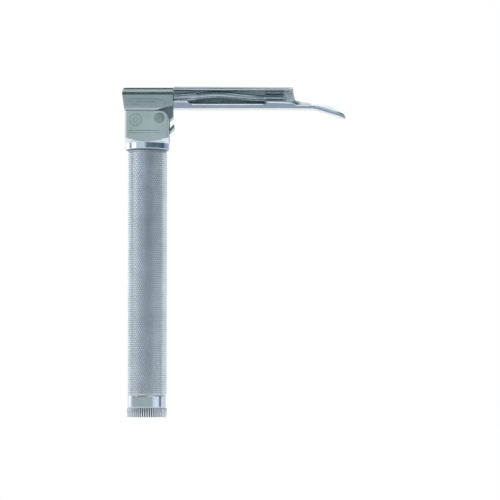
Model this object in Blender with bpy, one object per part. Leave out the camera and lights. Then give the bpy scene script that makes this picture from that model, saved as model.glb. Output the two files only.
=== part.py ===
"""Fibre-optic laryngoscope: slim battery handle with a straight blade hooked on at a right angle.

All sizes are in millimetres and are stored in metres. +Z runs up the handle, +X points to the blade's
tip, and the blade's open side faces -Y. The origin is the centre of the end cap's flat base.
"""

import math

import bmesh
import bpy
from mathutils import Vector

MM = 0.001
FIT = 0.1  # gap left where two pieces touch

# Handle: barrel and end cap
BARREL_R, BARREL_BORE_R = 9.5, 7.75
FOOT_BAND_R = 9.35
BARREL_FOOT, BAND_TOP, BARREL_TOP = 4.6, 10.3, 129.2
CAP_R, CAP_FLUTE_DEPTH, CAP_FLUTES = 9.7, 0.35, 32
CAP_TOP, CAP_SPIGOT_TOP = 4.5, 12.0
CAP_SPIGOT_R, CAP_BORE_R, CAP_FLOOR = 7.4, 5.6, 2.6
CAP_EDGE = 0.4  # chamfer at the foot and top of the flutes
CAP_GROOVE_FOOT, CAP_GROOVE_TOP, CAP_GROOVE_DEPTH = 5.5, 7.1, 0.6  # for the sealing ring
SEAL_R = 0.36
PLATE_TOP, PLATE_NUB_TOP = 3.5, 4.2
CAP_SPRING_FOOT_R, CAP_SPRING_TOP_R, CAP_WIRE = 4.6, 2.6, 0.4

# Two AA cells
CELL_R, CELL_BODY, CELL_NUB_R, CELL_NUB = 7.15, 49.3, 2.7, 1.2
CELL_BOTTOMS = {"battery_lower": 15.9, "battery_upper": 66.6}

# Head: square fork on a turned collar
HEAD_HALF, HEAD_TOP, HEAD_CORNER_R = 10.7, 147.95, 1.2
HEAD_FRONT_R = 4.6
COLLAR_R, COLLAR_LOW_R = 10.65, 9.6
COLLAR_FOOT, COLLAR_EDGE, COLLAR_TOP = 129.3, 129.9, 132.9
NUT_CHAMFER_SLOPE = 0.5  # rise per millimetre of radius, under the square corners
SPIGOT_R, SPIGOT_FOOT = 7.6, 118.9
SLOT_HALF, SLOT_FLOOR, SLOT_RELIEF_R = 5.9, 137.9, 8.4
LAMP_BORE_R, LAMP_BORE_TOP = 5.3, 133.0
LAMP_NECK_R, LAMP_NECK_TOP, LAMP_RECESS_R = 3.3, 136.2, 2.8

# Lamp: rides in the head's bore and is pressed down by the blade's light input
RING_FOOT, RING_TOP, RING_BORE_R = 119.9, 121.3, 3.0
CARRIER_FOOT, CARRIER_TOP, CARRIER_R = 124.0, 130.7, 4.8
LAMP_BASE_R, LAMP_FLANGE_R, LAMP_FLANGE = 2.2, 3.4, 1.0
LAMP_BASE_FOOT, LAMP_BASE_TOP = 128.6, 133.2
BULB_R, BULB_FOOT, BULB_TOP = 1.25, 133.3, 137.0
BUSH_FLANGE_FOOT, BUSH_STEP, BUSH_GAP = 131.7, 134.6, 0.15
CONTACT_R, CONTACT_HEAD_R, CONTACT_HEAD = 0.7, 1.8, 1.4
CONTACT_FOOT, CONTACT_TOP = 117.95, 128.45
LAMP_SPRING_R, LAMP_WIRE = 4.1, 0.3

# Hinge pin
PIN_X, PIN_Z = 6.2, 144.5
PIN_R, PIN_HOLE_R, PIN_HEAD_R, PIN_HEAD = 1.55, 1.6, 2.35, 0.9

# Blade block and heel
BLOCK_HALF, BLOCK_BOTTOM, BLOCK_TOP, BLOCK_FRONT = 8.8, 148.35, 160.0, 12.6
BLOCK_FILLET, BLOCK_CHAMFER, BLOCK_CHAMFER_IN = 4.2, 1.5, 0.5
BLOCK_PAST = 16.0  # length of the bar the block is cut from, each way
BLOCK_REAR_TOP, BLOCK_REAR_MID, BLOCK_REAR_BOTTOM = (-10.4, 160.0), (-12.0, 156.6), (-10.9, 148.35)
BLOCK_SLOPE_START, BLOCK_SLOPE_END = 3.6, 150.85
HEEL_HALF, HEEL_REAR, HEEL_BOTTOM = 5.4, -10.6, 138.4
HOOK_SEAT_R, HOOK_OUTER_R, HOOK_ENTRY_DEG, HOOK_MOUTH_DEG = 1.63, 8.0, -26.0, 40.0
NOSE_TIP = (4.75, -0.45)  # from the pin
CLAW_ROOT, CLAW_TIP = (5.1, -4.2), (6.8, -2.5)  # from the pin

# Spring balls that lock the heel between the cheeks
BALL_X, BALL_Z, BALL_R, BALL_Y = -7.5, 143.3, 1.9, 4.35
BALL_HOLE_R, BALL_RING_R, BALL_RING = 2.05, 2.55, 0.6
BALL_RING_BORE_R, BALL_RING_LIP_R = 1.97, 1.74
BALL_SPRING_R, BALL_WIRE = 1.1, 0.22
GROOVE_HALF, GROOVE_FLOOR, DIMPLE_FLOOR = 1.45, 6.4, 6.75

# Light path
INPUT_R, INPUT_CORE_R, INPUT_TOP, INPUT_FOOT = 1.5, 1.05, 141.5, 137.1
FIBRE_R, FIBRE_BORE_R = 0.95, 1.15
FIBRE_BEND_R, GUIDE_Y, GUIDE_Z = 4.4, 1.6, 155.6
GUIDE_R, GUIDE_CORE_R = 1.75, 1.3
GUIDE_CREST, GUIDE_CREST_X, GUIDE_END_Z, GUIDE_END_Y = 157.1, 34.0, 155.45, 2.6
SLEEVE_R, SLEEVE_END = 2.15, 23.7
FERRULE_R, FERRULE_START, FERRULE_END = 2.35, 57.0, 67.3

# Formed blade
SHEET = 1.1
BLADE_START, WEB_END, BEND_START, BLADE_END = 12.7, 71.8, 81.0, 96.5
BLADE_BOTTOM, BLADE_TOP, BLADE_TOP_DROP = 149.4, 161.0, 0.4
BEND_SLOPE = 0.298
BEND_R = 14.0
NEAR_CORNER_R, NEAR_FOOT_IN, NEAR_SLOPE, FAR_CORNER_R = 0.9, 0.27, 0.15, 5.0
LIP_R, FLANGE_EDGE, ROLL_R, ROLL_TURN_DEG = 1.25, 0.6, 0.7, 170.0
WINDOW_LOW, RIM_HIGH = 151.9, 153.2
TIP_LENGTH = 4.2

FINISHES = {  # base colour, metallic, roughness
    "satin steel": ((0.42, 0.47, 0.47, 1.0), 1.0, 0.38),
    "polished steel": ((0.62, 0.65, 0.68, 1.0), 1.0, 0.16),
    "knurled steel": ((0.45, 0.50, 0.55, 1.0), 1.0, 0.30),
    "dark steel": ((0.20, 0.22, 0.24, 1.0), 1.0, 0.30),
    "brass": ((0.72, 0.55, 0.26, 1.0), 1.0, 0.30),
    "spring steel": ((0.55, 0.56, 0.58, 1.0), 1.0, 0.28),
    "white plastic": ((0.82, 0.81, 0.77, 1.0), 0.0, 0.45),
    "black rubber": ((0.02, 0.02, 0.02, 1.0), 0.0, 0.60),
    "clear glass": ((0.85, 0.90, 0.92, 1.0), 0.0, 0.05),
    "glass fibre": ((0.75, 0.72, 0.60, 1.0), 0.0, 0.20),
    "battery can": ((0.30, 0.33, 0.38, 1.0), 0.6, 0.35),
}


# Solids: each function gives points in millimetres and faces


def arc(centre, radius, start_deg, end_deg, steps):
    """Points along an arc in a plane, both ends included."""
    turns = [math.radians(start_deg + (end_deg - start_deg) * i / steps) for i in range(steps + 1)]
    return [(centre[0] + radius * math.cos(a), centre[1] + radius * math.sin(a)) for a in turns]


def onto(axis, along, across):
    """A point at a height along an axis, with the two coordinates across it in X, Y, Z order."""
    u, v = across
    return {"X": (along, u, v), "Y": (u, along, v), "Z": (u, v, along)}[axis]


def rings_to_solid(rings, closed):
    """Joins rings of points, one of which may be a single point, into a surface."""
    points, starts = [], []
    for ring in rings:
        starts.append(len(points))
        points += ring
    faces = []
    pairs = list(zip(range(len(rings)), range(1, len(rings))))
    if closed:
        pairs.append((len(rings) - 1, 0))
    for low, high in pairs:
        count = max(len(rings[low]), len(rings[high]))
        for i in range(count):
            j = (i + 1) % count
            corners = [
                starts[low] + i % len(rings[low]),
                starts[low] + j % len(rings[low]),
                starts[high] + j % len(rings[high]),
                starts[high] + i % len(rings[high]),
            ]
            faces.append(list(dict.fromkeys(corners)))
    return points, faces


def turned(profile, steps=48, axis="Z", centre=(0.0, 0.0)):
    """Revolves (radius, height) points. A profile that ends on the axis is solid, any other is a ring."""
    rings = []
    for radius, height in profile:
        if radius == 0.0:
            rings.append([onto(axis, height, centre)])
            continue
        circle = arc(centre, radius, 0.0, 360.0, steps)[:-1]
        rings.append([onto(axis, height, point) for point in circle])
    return rings_to_solid(rings, closed=profile[0][0] != 0.0)


def prism(outline, low, high, axis):
    """Extrudes a flat outline along an axis."""
    count = len(outline)
    points = [onto(axis, end, point) for end in (low, high) for point in outline]
    faces = [[i, (i + 1) % count, count + (i + 1) % count, count + i] for i in range(count)]
    return points, faces + [list(range(count)), list(range(count, 2 * count))]


def loft(sections):
    """Skins closed sections of equal point counts and caps both ends."""
    points, faces = rings_to_solid(sections, closed=False)
    count = len(sections[0])
    return points, faces + [list(range(count)), list(range(len(points) - count, len(points)))]


def sweep(path, radius, sides=16):
    """A round bar along a path, its section carried along without twist."""
    path = [Vector(point) for point in path]
    across = None
    sections = []
    for i, point in enumerate(path):
        ahead = (path[min(i + 1, len(path) - 1)] - path[max(i - 1, 0)]).normalized()
        start = across or ahead.orthogonal()
        across = (start - ahead * start.dot(ahead)).normalized()
        other = ahead.cross(across)
        circle = arc((0.0, 0.0), radius, 0.0, 360.0, sides)[:-1]
        sections.append([tuple(point + across * u + other * v) for u, v in circle])
    return loft(sections)


def pipe(path, radius, bore, sides=14):
    """A tube along a path, open at both ends."""
    outer, inner = sweep(path, radius, sides)[0], sweep(path, bore, sides)[0]
    rings = [outer[i : i + sides] for i in range(0, len(outer), sides)]
    rings += [inner[i : i + sides] for i in range(len(inner) - sides, -1, -sides)]
    return rings_to_solid(rings, closed=True)


def helix(axis, centre, radii, span, turns, steps=16):
    """The centre line of a coil whose radius runs from radii[0] to radii[1] along its span."""
    path = []
    for i in range(turns * steps + 1):
        part = i / (turns * steps)
        radius = radii[0] + (radii[1] - radii[0]) * part
        angle = 2.0 * math.pi * turns * part
        across = (centre[0] + radius * math.cos(angle), centre[1] + radius * math.sin(angle))
        path.append(onto(axis, span[0] + (span[1] - span[0]) * part, across))
    return path


# Objects


def clear_scene():
    for obj in list(bpy.data.objects):
        bpy.data.objects.remove(obj, do_unlink=True)


def pivot(name, at=(0.0, 0.0, 0.0)):
    """An empty on a joint's axis, parent of the pieces that the joint moves."""
    empty = bpy.data.objects.new(name, None)
    empty.location = Vector(at) * MM
    empty.empty_display_size = 5.0 * MM
    bpy.context.scene.collection.objects.link(empty)
    return empty


def make_object(name, solid, parent):
    """An object whose origin is its parent's, from a solid given in the handle's frame."""
    points, faces = solid
    mesh = bpy.data.meshes.new(name)
    mesh.from_pydata([Vector(point) * MM - parent.location for point in points], [], faces)
    form = bmesh.new()
    form.from_mesh(mesh)
    bmesh.ops.recalc_face_normals(form, faces=form.faces)
    form.to_mesh(mesh)
    form.free()
    obj = bpy.data.objects.new(name, mesh)
    obj.parent = parent
    bpy.context.scene.collection.objects.link(obj)
    return obj


def node(name, solid, finish, parent):
    """One sub-part with a material of its own, smooth over all but its sharp edges."""
    obj = make_object(name, solid, parent)
    colour, metallic, roughness = FINISHES[finish]
    material = bpy.data.materials.new(name)
    material.use_nodes = True
    shader = material.node_tree.nodes["Principled BSDF"]
    shader.inputs["Base Color"].default_value = colour
    shader.inputs["Metallic"].default_value = metallic
    shader.inputs["Roughness"].default_value = roughness
    obj.data.materials.append(material)
    obj.data.shade_smooth()
    obj.data.set_sharp_from_angle(angle=math.radians(32.0))
    return obj


def carve(obj, solid, operation="DIFFERENCE"):
    """Cuts a solid from an object, or keeps or adds it, with a Boolean on a hidden helper."""
    label = f"{obj.name}_shape_{len(obj.modifiers) + 1}"
    helper = make_object(label, solid, obj.parent)
    helper.hide_render = True
    helper.display_type = "WIRE"
    modifier = obj.modifiers.new(label, "BOOLEAN")
    modifier.operation = operation
    modifier.solver = "EXACT"
    modifier.object = helper


# Handle


def build_barrel(handle):
    profile = [
        (BARREL_BORE_R, BARREL_FOOT),
        (FOOT_BAND_R - 0.3, BARREL_FOOT),
        (FOOT_BAND_R, BARREL_FOOT + 0.3),
        (FOOT_BAND_R, BAND_TOP - 0.15),
        (BARREL_R, BAND_TOP),
        (BARREL_R, BARREL_TOP - 0.4),
        (BARREL_R - 0.4, BARREL_TOP),
        (BARREL_BORE_R, BARREL_TOP),
    ]
    node("handle_tube", turned(profile, 48), "knurled steel", handle)


def head_outline():
    """The fork seen from the side, with the rounded corner over the pin."""
    corner = (HEAD_HALF - HEAD_FRONT_R, HEAD_TOP - HEAD_FRONT_R)
    outline = [(-HEAD_HALF, SPIGOT_FOOT), (HEAD_HALF, SPIGOT_FOOT)]
    outline += arc(corner, HEAD_FRONT_R, 0.0, 90.0, 8)
    return outline + [(-HEAD_HALF, HEAD_TOP)]


def rounded_square(half, radius, steps=3):
    reach = half - radius
    outline = []
    for turn, (sx, sy) in enumerate(((1, 1), (-1, 1), (-1, -1), (1, -1))):
        outline += arc((sx * reach, sy * reach), radius, 90.0 * turn, 90.0 * turn + 90.0, steps)
    return outline


def build_head(handle):
    outer = 16.0
    chamfer_rise = (outer - COLLAR_R) * NUT_CHAMFER_SLOPE
    envelope = [
        (0.0, SPIGOT_FOOT),
        (SPIGOT_R, SPIGOT_FOOT),
        (SPIGOT_R, COLLAR_FOOT),
        (COLLAR_LOW_R, COLLAR_FOOT),
        (COLLAR_R, COLLAR_EDGE),
        (COLLAR_R, COLLAR_TOP),
        (outer, COLLAR_TOP + chamfer_rise),
        (outer, HEAD_TOP + 2.0),
        (0.0, HEAD_TOP + 2.0),
    ]
    side = prism(head_outline(), -HEAD_HALF, HEAD_HALF, "Y")
    head = node("handle_head", side, "satin steel", handle)
    plan = prism(rounded_square(HEAD_HALF - 0.001, HEAD_CORNER_R), SPIGOT_FOOT - 2.0, HEAD_TOP + 2.0, "Z")
    carve(head, plan, "INTERSECT")
    carve(head, turned(envelope, 48), "INTERSECT")

    reach = HEAD_HALF + 3.0
    floor_end = -math.sqrt(SLOT_RELIEF_R**2 - (PIN_Z - SLOT_FLOOR) ** 2)
    start_deg = math.degrees(math.atan2(SLOT_FLOOR - PIN_Z, floor_end)) + 360.0
    front_deg = 360.0 - math.degrees(math.acos((HEAD_HALF + 1.0 - PIN_X) / SLOT_RELIEF_R))
    slot = [(-reach, HEAD_TOP + 2.0), (-reach, SLOT_FLOOR)]
    slot += arc((PIN_X, PIN_Z), SLOT_RELIEF_R, start_deg, front_deg, 8)
    slot += [(reach, slot[-1][1]), (reach, HEAD_TOP + 2.0)]
    carve(head, prism(slot, -SLOT_HALF, SLOT_HALF, "Y"))

    lamp_room = [
        (0.0, SPIGOT_FOOT - 2.0),
        (LAMP_BORE_R, SPIGOT_FOOT - 2.0),
        (LAMP_BORE_R, LAMP_BORE_TOP),
        (LAMP_NECK_R, LAMP_BORE_TOP),
        (LAMP_NECK_R, LAMP_NECK_TOP),
        (LAMP_RECESS_R, LAMP_NECK_TOP),
        (LAMP_RECESS_R, SLOT_FLOOR + 2.0),
        (0.0, SLOT_FLOOR + 2.0),
    ]
    carve(head, turned(lamp_room, 24))

    face = HEAD_HALF + 1.0
    head_depth = HEAD_HALF - PIN_HEAD - FIT
    pin_hole = [(0.0, -face), (PIN_HEAD_R + FIT, -face), (PIN_HEAD_R + FIT, -head_depth)]
    pin_hole += [(PIN_HOLE_R, -head_depth), (PIN_HOLE_R, head_depth), (PIN_HEAD_R + FIT, head_depth)]
    pin_hole += [(PIN_HEAD_R + FIT, face), (0.0, face)]
    carve(head, turned(pin_hole, 24, "Y", (PIN_X, PIN_Z)))

    path_r = math.hypot(BALL_X - PIN_X, BALL_Z - PIN_Z)
    rest_deg = math.degrees(math.atan2(BALL_Z - PIN_Z, BALL_X - PIN_X)) % 360.0
    outer_edge = arc((PIN_X, PIN_Z), path_r + GROOVE_HALF, rest_deg + 5.0, rest_deg - 30.0, 7)
    inner_edge = arc((PIN_X, PIN_Z), path_r - GROOVE_HALF, rest_deg - 30.0, rest_deg + 5.0, 7)
    groove = outer_edge + inner_edge
    dimple_steps = ((0.0, 5.0), (GROOVE_HALF - 0.05, 5.0), (GROOVE_HALF - 0.05, 6.2), (0.8, DIMPLE_FLOOR))
    for side_sign in (-1.0, 1.0):
        ends = sorted((side_sign * (SLOT_HALF - 0.5), side_sign * GROOVE_FLOOR))
        carve(head, prism(groove, ends[0], ends[1], "Y"))
        dimple = [(radius, side_sign * height) for radius, height in dimple_steps]
        dimple.append((0.0, side_sign * DIMPLE_FLOOR))
        carve(head, turned(dimple, 14, "Y", (BALL_X, BALL_Z)))


def build_pin(handle):
    end = HEAD_HALF - 0.05
    shoulder = HEAD_HALF - PIN_HEAD
    profile = [(0.0, -end), (PIN_HEAD_R - 0.2, -end), (PIN_HEAD_R, -end + 0.2), (PIN_HEAD_R, -shoulder)]
    profile += [(PIN_R, -shoulder), (PIN_R, shoulder), (PIN_HEAD_R, shoulder), (PIN_HEAD_R, end - 0.2)]
    profile += [(PIN_HEAD_R - 0.2, end), (0.0, end)]
    node("hinge_pin", turned(profile, 24, "Y", (PIN_X, PIN_Z)), "polished steel", handle)


def build_batteries(handle):
    for name, bottom in CELL_BOTTOMS.items():
        top = bottom + CELL_BODY
        profile = [(0.0, bottom), (CELL_R - 0.5, bottom), (CELL_R, bottom + 0.5), (CELL_R, top - 0.5)]
        profile += [(CELL_R - 0.5, top), (CELL_NUB_R, top), (CELL_NUB_R, top + CELL_NUB - 0.2)]
        profile += [(CELL_NUB_R - 0.2, top + CELL_NUB), (0.0, top + CELL_NUB)]
        node(name, turned(profile, 24), "battery can", handle)


# Lamp


def build_lamp_seat(handle):
    bush = [
        (LAMP_BASE_R + 0.3, BUSH_FLANGE_FOOT),
        (LAMP_BORE_R - BUSH_GAP, BUSH_FLANGE_FOOT),
        (LAMP_BORE_R - BUSH_GAP, LAMP_BORE_TOP - FIT),
        (LAMP_NECK_R - BUSH_GAP, LAMP_BORE_TOP - FIT),
        (LAMP_NECK_R - BUSH_GAP, LAMP_NECK_TOP - FIT),
        (BULB_R + 0.35, LAMP_NECK_TOP - FIT),
        (BULB_R + 0.35, BUSH_STEP),
        (LAMP_BASE_R + 0.3, BUSH_STEP),
    ]
    node("lamp_bush", turned(bush, 20), "white plastic", handle)
    ring_r = LAMP_BORE_R - BUSH_GAP
    ring = [(RING_BORE_R, RING_FOOT), (ring_r, RING_FOOT), (ring_r, RING_TOP), (RING_BORE_R, RING_TOP)]
    node("retaining_ring", turned(ring, 24), "brass", handle)
    inset = LAMP_WIRE + FIT / 2.0
    span = (RING_TOP + inset, CARRIER_FOOT - inset)
    coil = helix("Z", (0.0, 0.0), (LAMP_SPRING_R, LAMP_SPRING_R), span, 3, 12)
    node("lamp_spring", sweep(coil, LAMP_WIRE, 5), "spring steel", handle)


def build_lamp(lamp_slide):
    ledge = LAMP_BASE_FOOT + 1.2
    carrier = [
        (LAMP_FLANGE_R + 0.2, CARRIER_FOOT),
        (CARRIER_R, CARRIER_FOOT),
        (CARRIER_R, CARRIER_TOP - 0.3),
        (CARRIER_R - 0.3, CARRIER_TOP),
        (LAMP_BASE_R + 0.2, CARRIER_TOP),
        (LAMP_BASE_R + 0.2, ledge),
        (LAMP_FLANGE_R + 0.2, ledge),
    ]
    node("lamp_carrier", turned(carrier, 20), "brass", lamp_slide)
    base = [
        (0.0, LAMP_BASE_FOOT),
        (LAMP_FLANGE_R, LAMP_BASE_FOOT),
        (LAMP_FLANGE_R, LAMP_BASE_FOOT + LAMP_FLANGE),
        (LAMP_BASE_R, LAMP_BASE_FOOT + LAMP_FLANGE),
        (LAMP_BASE_R, LAMP_BASE_TOP),
        (0.0, LAMP_BASE_TOP),
    ]
    node("lamp_base", turned(base, 20), "polished steel", lamp_slide)
    dome = arc((0.0, BULB_TOP - BULB_R), BULB_R, 0.0, 90.0, 4)[:-1]
    bulb = [(0.0, BULB_FOOT), (BULB_R, BULB_FOOT)] + dome + [(0.0, BULB_TOP)]
    node("bulb_glass", turned(bulb, 14), "clear glass", lamp_slide)
    plug = [(CONTACT_R + 0.1, CARRIER_FOOT + 0.2), (LAMP_FLANGE_R, CARRIER_FOOT + 0.2)]
    plug += [(LAMP_FLANGE_R, LAMP_BASE_FOOT - FIT), (CONTACT_R + 0.1, LAMP_BASE_FOOT - FIT)]
    node("contact_insulator", turned(plug, 18), "white plastic", lamp_slide)
    contact = [(0.0, CONTACT_FOOT), (CONTACT_HEAD_R - 0.3, CONTACT_FOOT)]
    contact += [(CONTACT_HEAD_R, CONTACT_FOOT + 0.3), (CONTACT_HEAD_R, CONTACT_FOOT + CONTACT_HEAD)]
    contact += [(CONTACT_R, CONTACT_FOOT + CONTACT_HEAD)]
    contact += [(CONTACT_R, CONTACT_TOP), (0.0, CONTACT_TOP)]
    node("centre_contact", turned(contact, 12), "brass", lamp_slide)


# End cap


def fluted_circle(radius, depth, flutes):
    """A circle with rounded crests and V-shaped flutes."""
    outline = []
    for i in range(flutes):
        for share, drop in ((0.0, depth), (0.3, 0.0), (0.7, 0.0)):
            angle = 2.0 * math.pi * (i + share) / flutes
            outline.append(((radius - drop) * math.cos(angle), (radius - drop) * math.sin(angle)))
    return outline


def build_cap(cap_turn):
    full, end = (CAP_R, CAP_FLUTE_DEPTH), (CAP_R - CAP_EDGE - FIT, 0.0)
    rings = []
    for height, (radius, depth) in ((0.0, end), (CAP_EDGE, full), (CAP_TOP - CAP_EDGE, full), (CAP_TOP, end)):
        rings.append([(x, y, height) for x, y in fluted_circle(radius, depth, CAP_FLUTES)])
    cap = node("end_cap", loft(rings), "polished steel", cap_turn)
    groove_r = CAP_SPIGOT_R - CAP_GROOVE_DEPTH
    spigot = [
        (0.0, CAP_TOP - 1.0),
        (CAP_SPIGOT_R, CAP_TOP - 1.0),
        (CAP_SPIGOT_R, CAP_GROOVE_FOOT),
        (groove_r, CAP_GROOVE_FOOT),
        (groove_r, CAP_GROOVE_TOP),
        (CAP_SPIGOT_R, CAP_GROOVE_TOP),
        (CAP_SPIGOT_R, CAP_SPIGOT_TOP - 0.5),
        (CAP_SPIGOT_R - 0.5, CAP_SPIGOT_TOP),
        (0.0, CAP_SPIGOT_TOP),
    ]
    carve(cap, turned(spigot, 32), "UNION")
    bore = [(0.0, CAP_FLOOR), (CAP_BORE_R, CAP_FLOOR), (CAP_BORE_R, CAP_SPIGOT_TOP + 1.0)]
    carve(cap, turned(bore + [(0.0, CAP_SPIGOT_TOP + 1.0)], 24))
    mid = (groove_r + SEAL_R + FIT, (CAP_GROOVE_FOOT + CAP_GROOVE_TOP) / 2.0)
    node("cap_oring", turned(arc(mid, SEAL_R, 0.0, 360.0, 6)[:-1], 28), "black rubber", cap_turn)


def build_cap_contact(cap_travel):
    plate_r = CAP_BORE_R - 2.0 * FIT
    plate = [(0.0, CAP_FLOOR + FIT), (plate_r, CAP_FLOOR + FIT), (plate_r, PLATE_TOP)]
    plate += [(1.2, PLATE_TOP), (0.8, PLATE_NUB_TOP), (0.0, PLATE_NUB_TOP)]
    node("cap_contact_plate", turned(plate, 20), "brass", cap_travel)
    inset = CAP_WIRE + FIT / 2.0
    span = (PLATE_TOP + inset, CELL_BOTTOMS["battery_lower"] - inset)
    coil = helix("Z", (0.0, 0.0), (CAP_SPRING_FOOT_R, CAP_SPRING_TOP_R), span, 5, 12)
    node("cap_spring", sweep(coil, CAP_WIRE, 5), "spring steel", cap_travel)


# Blade


def from_pin(point):
    return PIN_X + point[0], PIN_Z + point[1]


def heel_outline():
    """The heel seen from the side: plate with the hook that seats on the pin, and the nose over it."""
    entry = math.radians(HOOK_ENTRY_DEG)
    seat_start = HOOK_ENTRY_DEG - 90.0
    nose_front = BLOCK_FRONT - PIN_X
    rise = (nose_front - NOSE_TIP[0]) * math.tan(math.radians(HOOK_MOUTH_DEG))
    bottom = HEEL_BOTTOM - PIN_Z
    outer_deg = math.degrees(math.asin(bottom / HOOK_OUTER_R))
    reach = (CLAW_ROOT[0] + HOOK_SEAT_R * math.sin(-entry)) / math.cos(entry)
    lower_edge = (
        reach * math.cos(entry) + HOOK_SEAT_R * math.sin(entry),
        reach * math.sin(entry) - HOOK_SEAT_R * math.cos(entry),
    )
    outline = [(HEEL_REAR - PIN_X, bottom + 1.2), (HEEL_REAR - PIN_X + 1.2, bottom)]
    outline += arc((0.0, 0.0), HOOK_OUTER_R, outer_deg, -29.0, 4)
    outline += [(CLAW_TIP[0] + 0.15, CLAW_TIP[1] - 0.25), CLAW_TIP, lower_edge]
    outline += arc((0.0, 0.0), HOOK_SEAT_R, seat_start, seat_start - 180.0, 12)
    outline += [NOSE_TIP, (nose_front, NOSE_TIP[1] + rise)]
    top = BLOCK_BOTTOM - PIN_Z + 4.0
    outline += [(nose_front, top), (HEEL_REAR - PIN_X, top)]
    return [from_pin(point) for point in outline]


def block_side():
    """The block seen from the side: bulged back, underside rising towards the front."""
    bulge = [BLOCK_REAR_TOP]
    (top_x, top_z), (mid_x, mid_z), (low_x, low_z) = BLOCK_REAR_TOP, BLOCK_REAR_MID, BLOCK_REAR_BOTTOM
    for i in range(1, 6):
        turn = math.radians(90.0 * i / 6.0)
        bulge.append((top_x + (mid_x - top_x) * math.sin(turn), mid_z + (top_z - mid_z) * math.cos(turn)))
    bulge += [(mid_x, mid_z), (low_x, low_z)]
    slope_start = (BLOCK_SLOPE_START, BLOCK_BOTTOM)
    return bulge + [slope_start, (BLOCK_FRONT, BLOCK_SLOPE_END), (BLOCK_FRONT, BLOCK_TOP)]


def block_section():
    """The block seen along the blade: filleted shoulders above, chamfers below."""
    reach = BLOCK_HALF - BLOCK_FILLET
    shoulder = BLOCK_TOP - BLOCK_FILLET
    foot = BLOCK_HALF - BLOCK_CHAMFER_IN
    outline = [(-foot, BLOCK_BOTTOM), (foot, BLOCK_BOTTOM), (BLOCK_HALF, BLOCK_BOTTOM + BLOCK_CHAMFER)]
    outline += arc((reach, shoulder), BLOCK_FILLET, 0.0, 90.0, 6)
    outline += arc((-reach, shoulder), BLOCK_FILLET, 90.0, 180.0, 6)
    return outline + [(-BLOCK_HALF, BLOCK_BOTTOM + BLOCK_CHAMFER)]


def fibre_route(foot, front):
    """Up the heel from its foot, round a bend and forward to the block's front face."""
    bend_foot = GUIDE_Z - FIBRE_BEND_R
    path = [(0.0, 0.0, foot), (0.0, 0.0, bend_foot - 4.0)]
    for i in range(9):
        part = i / 8.0
        turn = math.radians(180.0 - 90.0 * part)
        x = FIBRE_BEND_R * (1.0 + math.cos(turn))
        path.append((x, GUIDE_Y * part**2 * (3.0 - 2.0 * part), bend_foot + FIBRE_BEND_R * math.sin(turn)))
    return path + [(front, GUIDE_Y, GUIDE_Z)]


def build_block(blade):
    bar = prism(block_section(), -BLOCK_PAST, BLOCK_FRONT + BLOCK_PAST, "X")
    block = node("blade_block", bar, "satin steel", blade)
    carve(block, prism(block_side(), -BLOCK_HALF - 2.0, BLOCK_HALF + 2.0, "Y"), "INTERSECT")
    carve(block, prism(heel_outline(), -HEEL_HALF, HEEL_HALF, "Y"), "UNION")
    carve(block, sweep(fibre_route(HEEL_BOTTOM - 3.0, BLOCK_FRONT + 3.0), FIBRE_BORE_R, 12))
    socket = [(0.0, HEEL_BOTTOM - 2.0), (INPUT_R + FIT, HEEL_BOTTOM - 2.0), (INPUT_R + FIT, INPUT_TOP + FIT)]
    carve(block, turned(socket + [(0.0, INPUT_TOP + FIT)], 16))
    ring_floor = HEEL_HALF - BALL_RING - FIT
    wide = BALL_RING_R + FIT
    face = HEEL_HALF + 2.0
    ball_hole = [(0.0, -face), (wide, -face), (wide, -ring_floor), (BALL_HOLE_R, -ring_floor)]
    ball_hole += [(BALL_HOLE_R, ring_floor), (wide, ring_floor), (wide, face), (0.0, face)]
    carve(block, turned(ball_hole, 20, "Y", (BALL_X, BALL_Z)))


def build_detents(blade, slides):
    for side, (name, slide) in zip((-1.0, 1.0), slides.items()):
        circle = arc((0.0, side * BALL_Y), BALL_R, -90.0, 90.0, 8)[1:-1]
        ball = [(0.0, side * BALL_Y - BALL_R)] + circle + [(0.0, side * BALL_Y + BALL_R)]
        node(f"detent_ball_{name}", turned(ball, 16, "Y", (BALL_X, BALL_Z)), "polished steel", slide)
        inner_end, outer_end = side * (HEEL_HALF - BALL_RING), side * (HEEL_HALF - 0.02)
        ring = [(BALL_RING_BORE_R, inner_end), (BALL_RING_R, inner_end)]
        ring += [(BALL_RING_R, outer_end), (BALL_RING_LIP_R, outer_end)]
        node(f"ball_retainer_{name}", turned(ring, 20, "Y", (BALL_X, BALL_Z)), "dark steel", blade)
    end = BALL_Y - BALL_R - BALL_WIRE - FIT / 2.0
    coil = helix("Y", (BALL_X, BALL_Z), (BALL_SPRING_R, BALL_SPRING_R), (-end, end), 3, 10)
    node("detent_spring", sweep(coil, BALL_WIRE, 5), "spring steel", blade)


def blend(points, x):
    """Height at x on a smooth curve through (x, height) points, level at both ends."""
    if x <= points[0][0]:
        return points[0][1]
    for (x0, z0), (x1, z1) in zip(points, points[1:]):
        if x <= x1:
            part = (x - x0) / (x1 - x0)
            return z0 + (z1 - z0) * part * part * (3.0 - 2.0 * part)
    return points[-1][1]


def guide_route(start, end, steps):
    """The light tube's centre line: a low arch along the blade that settles against the web."""
    path = []
    for i in range(steps + 1):
        x = start + (end - start) * i / steps
        rise = ((BLOCK_FRONT, GUIDE_Z), (GUIDE_CREST_X, GUIDE_CREST), (FERRULE_START, GUIDE_END_Z))
        drift = ((GUIDE_CREST_X, GUIDE_Y), (FERRULE_START, GUIDE_END_Y))
        path.append((x, blend(drift, x), blend(rise, x)))
    return path


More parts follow.
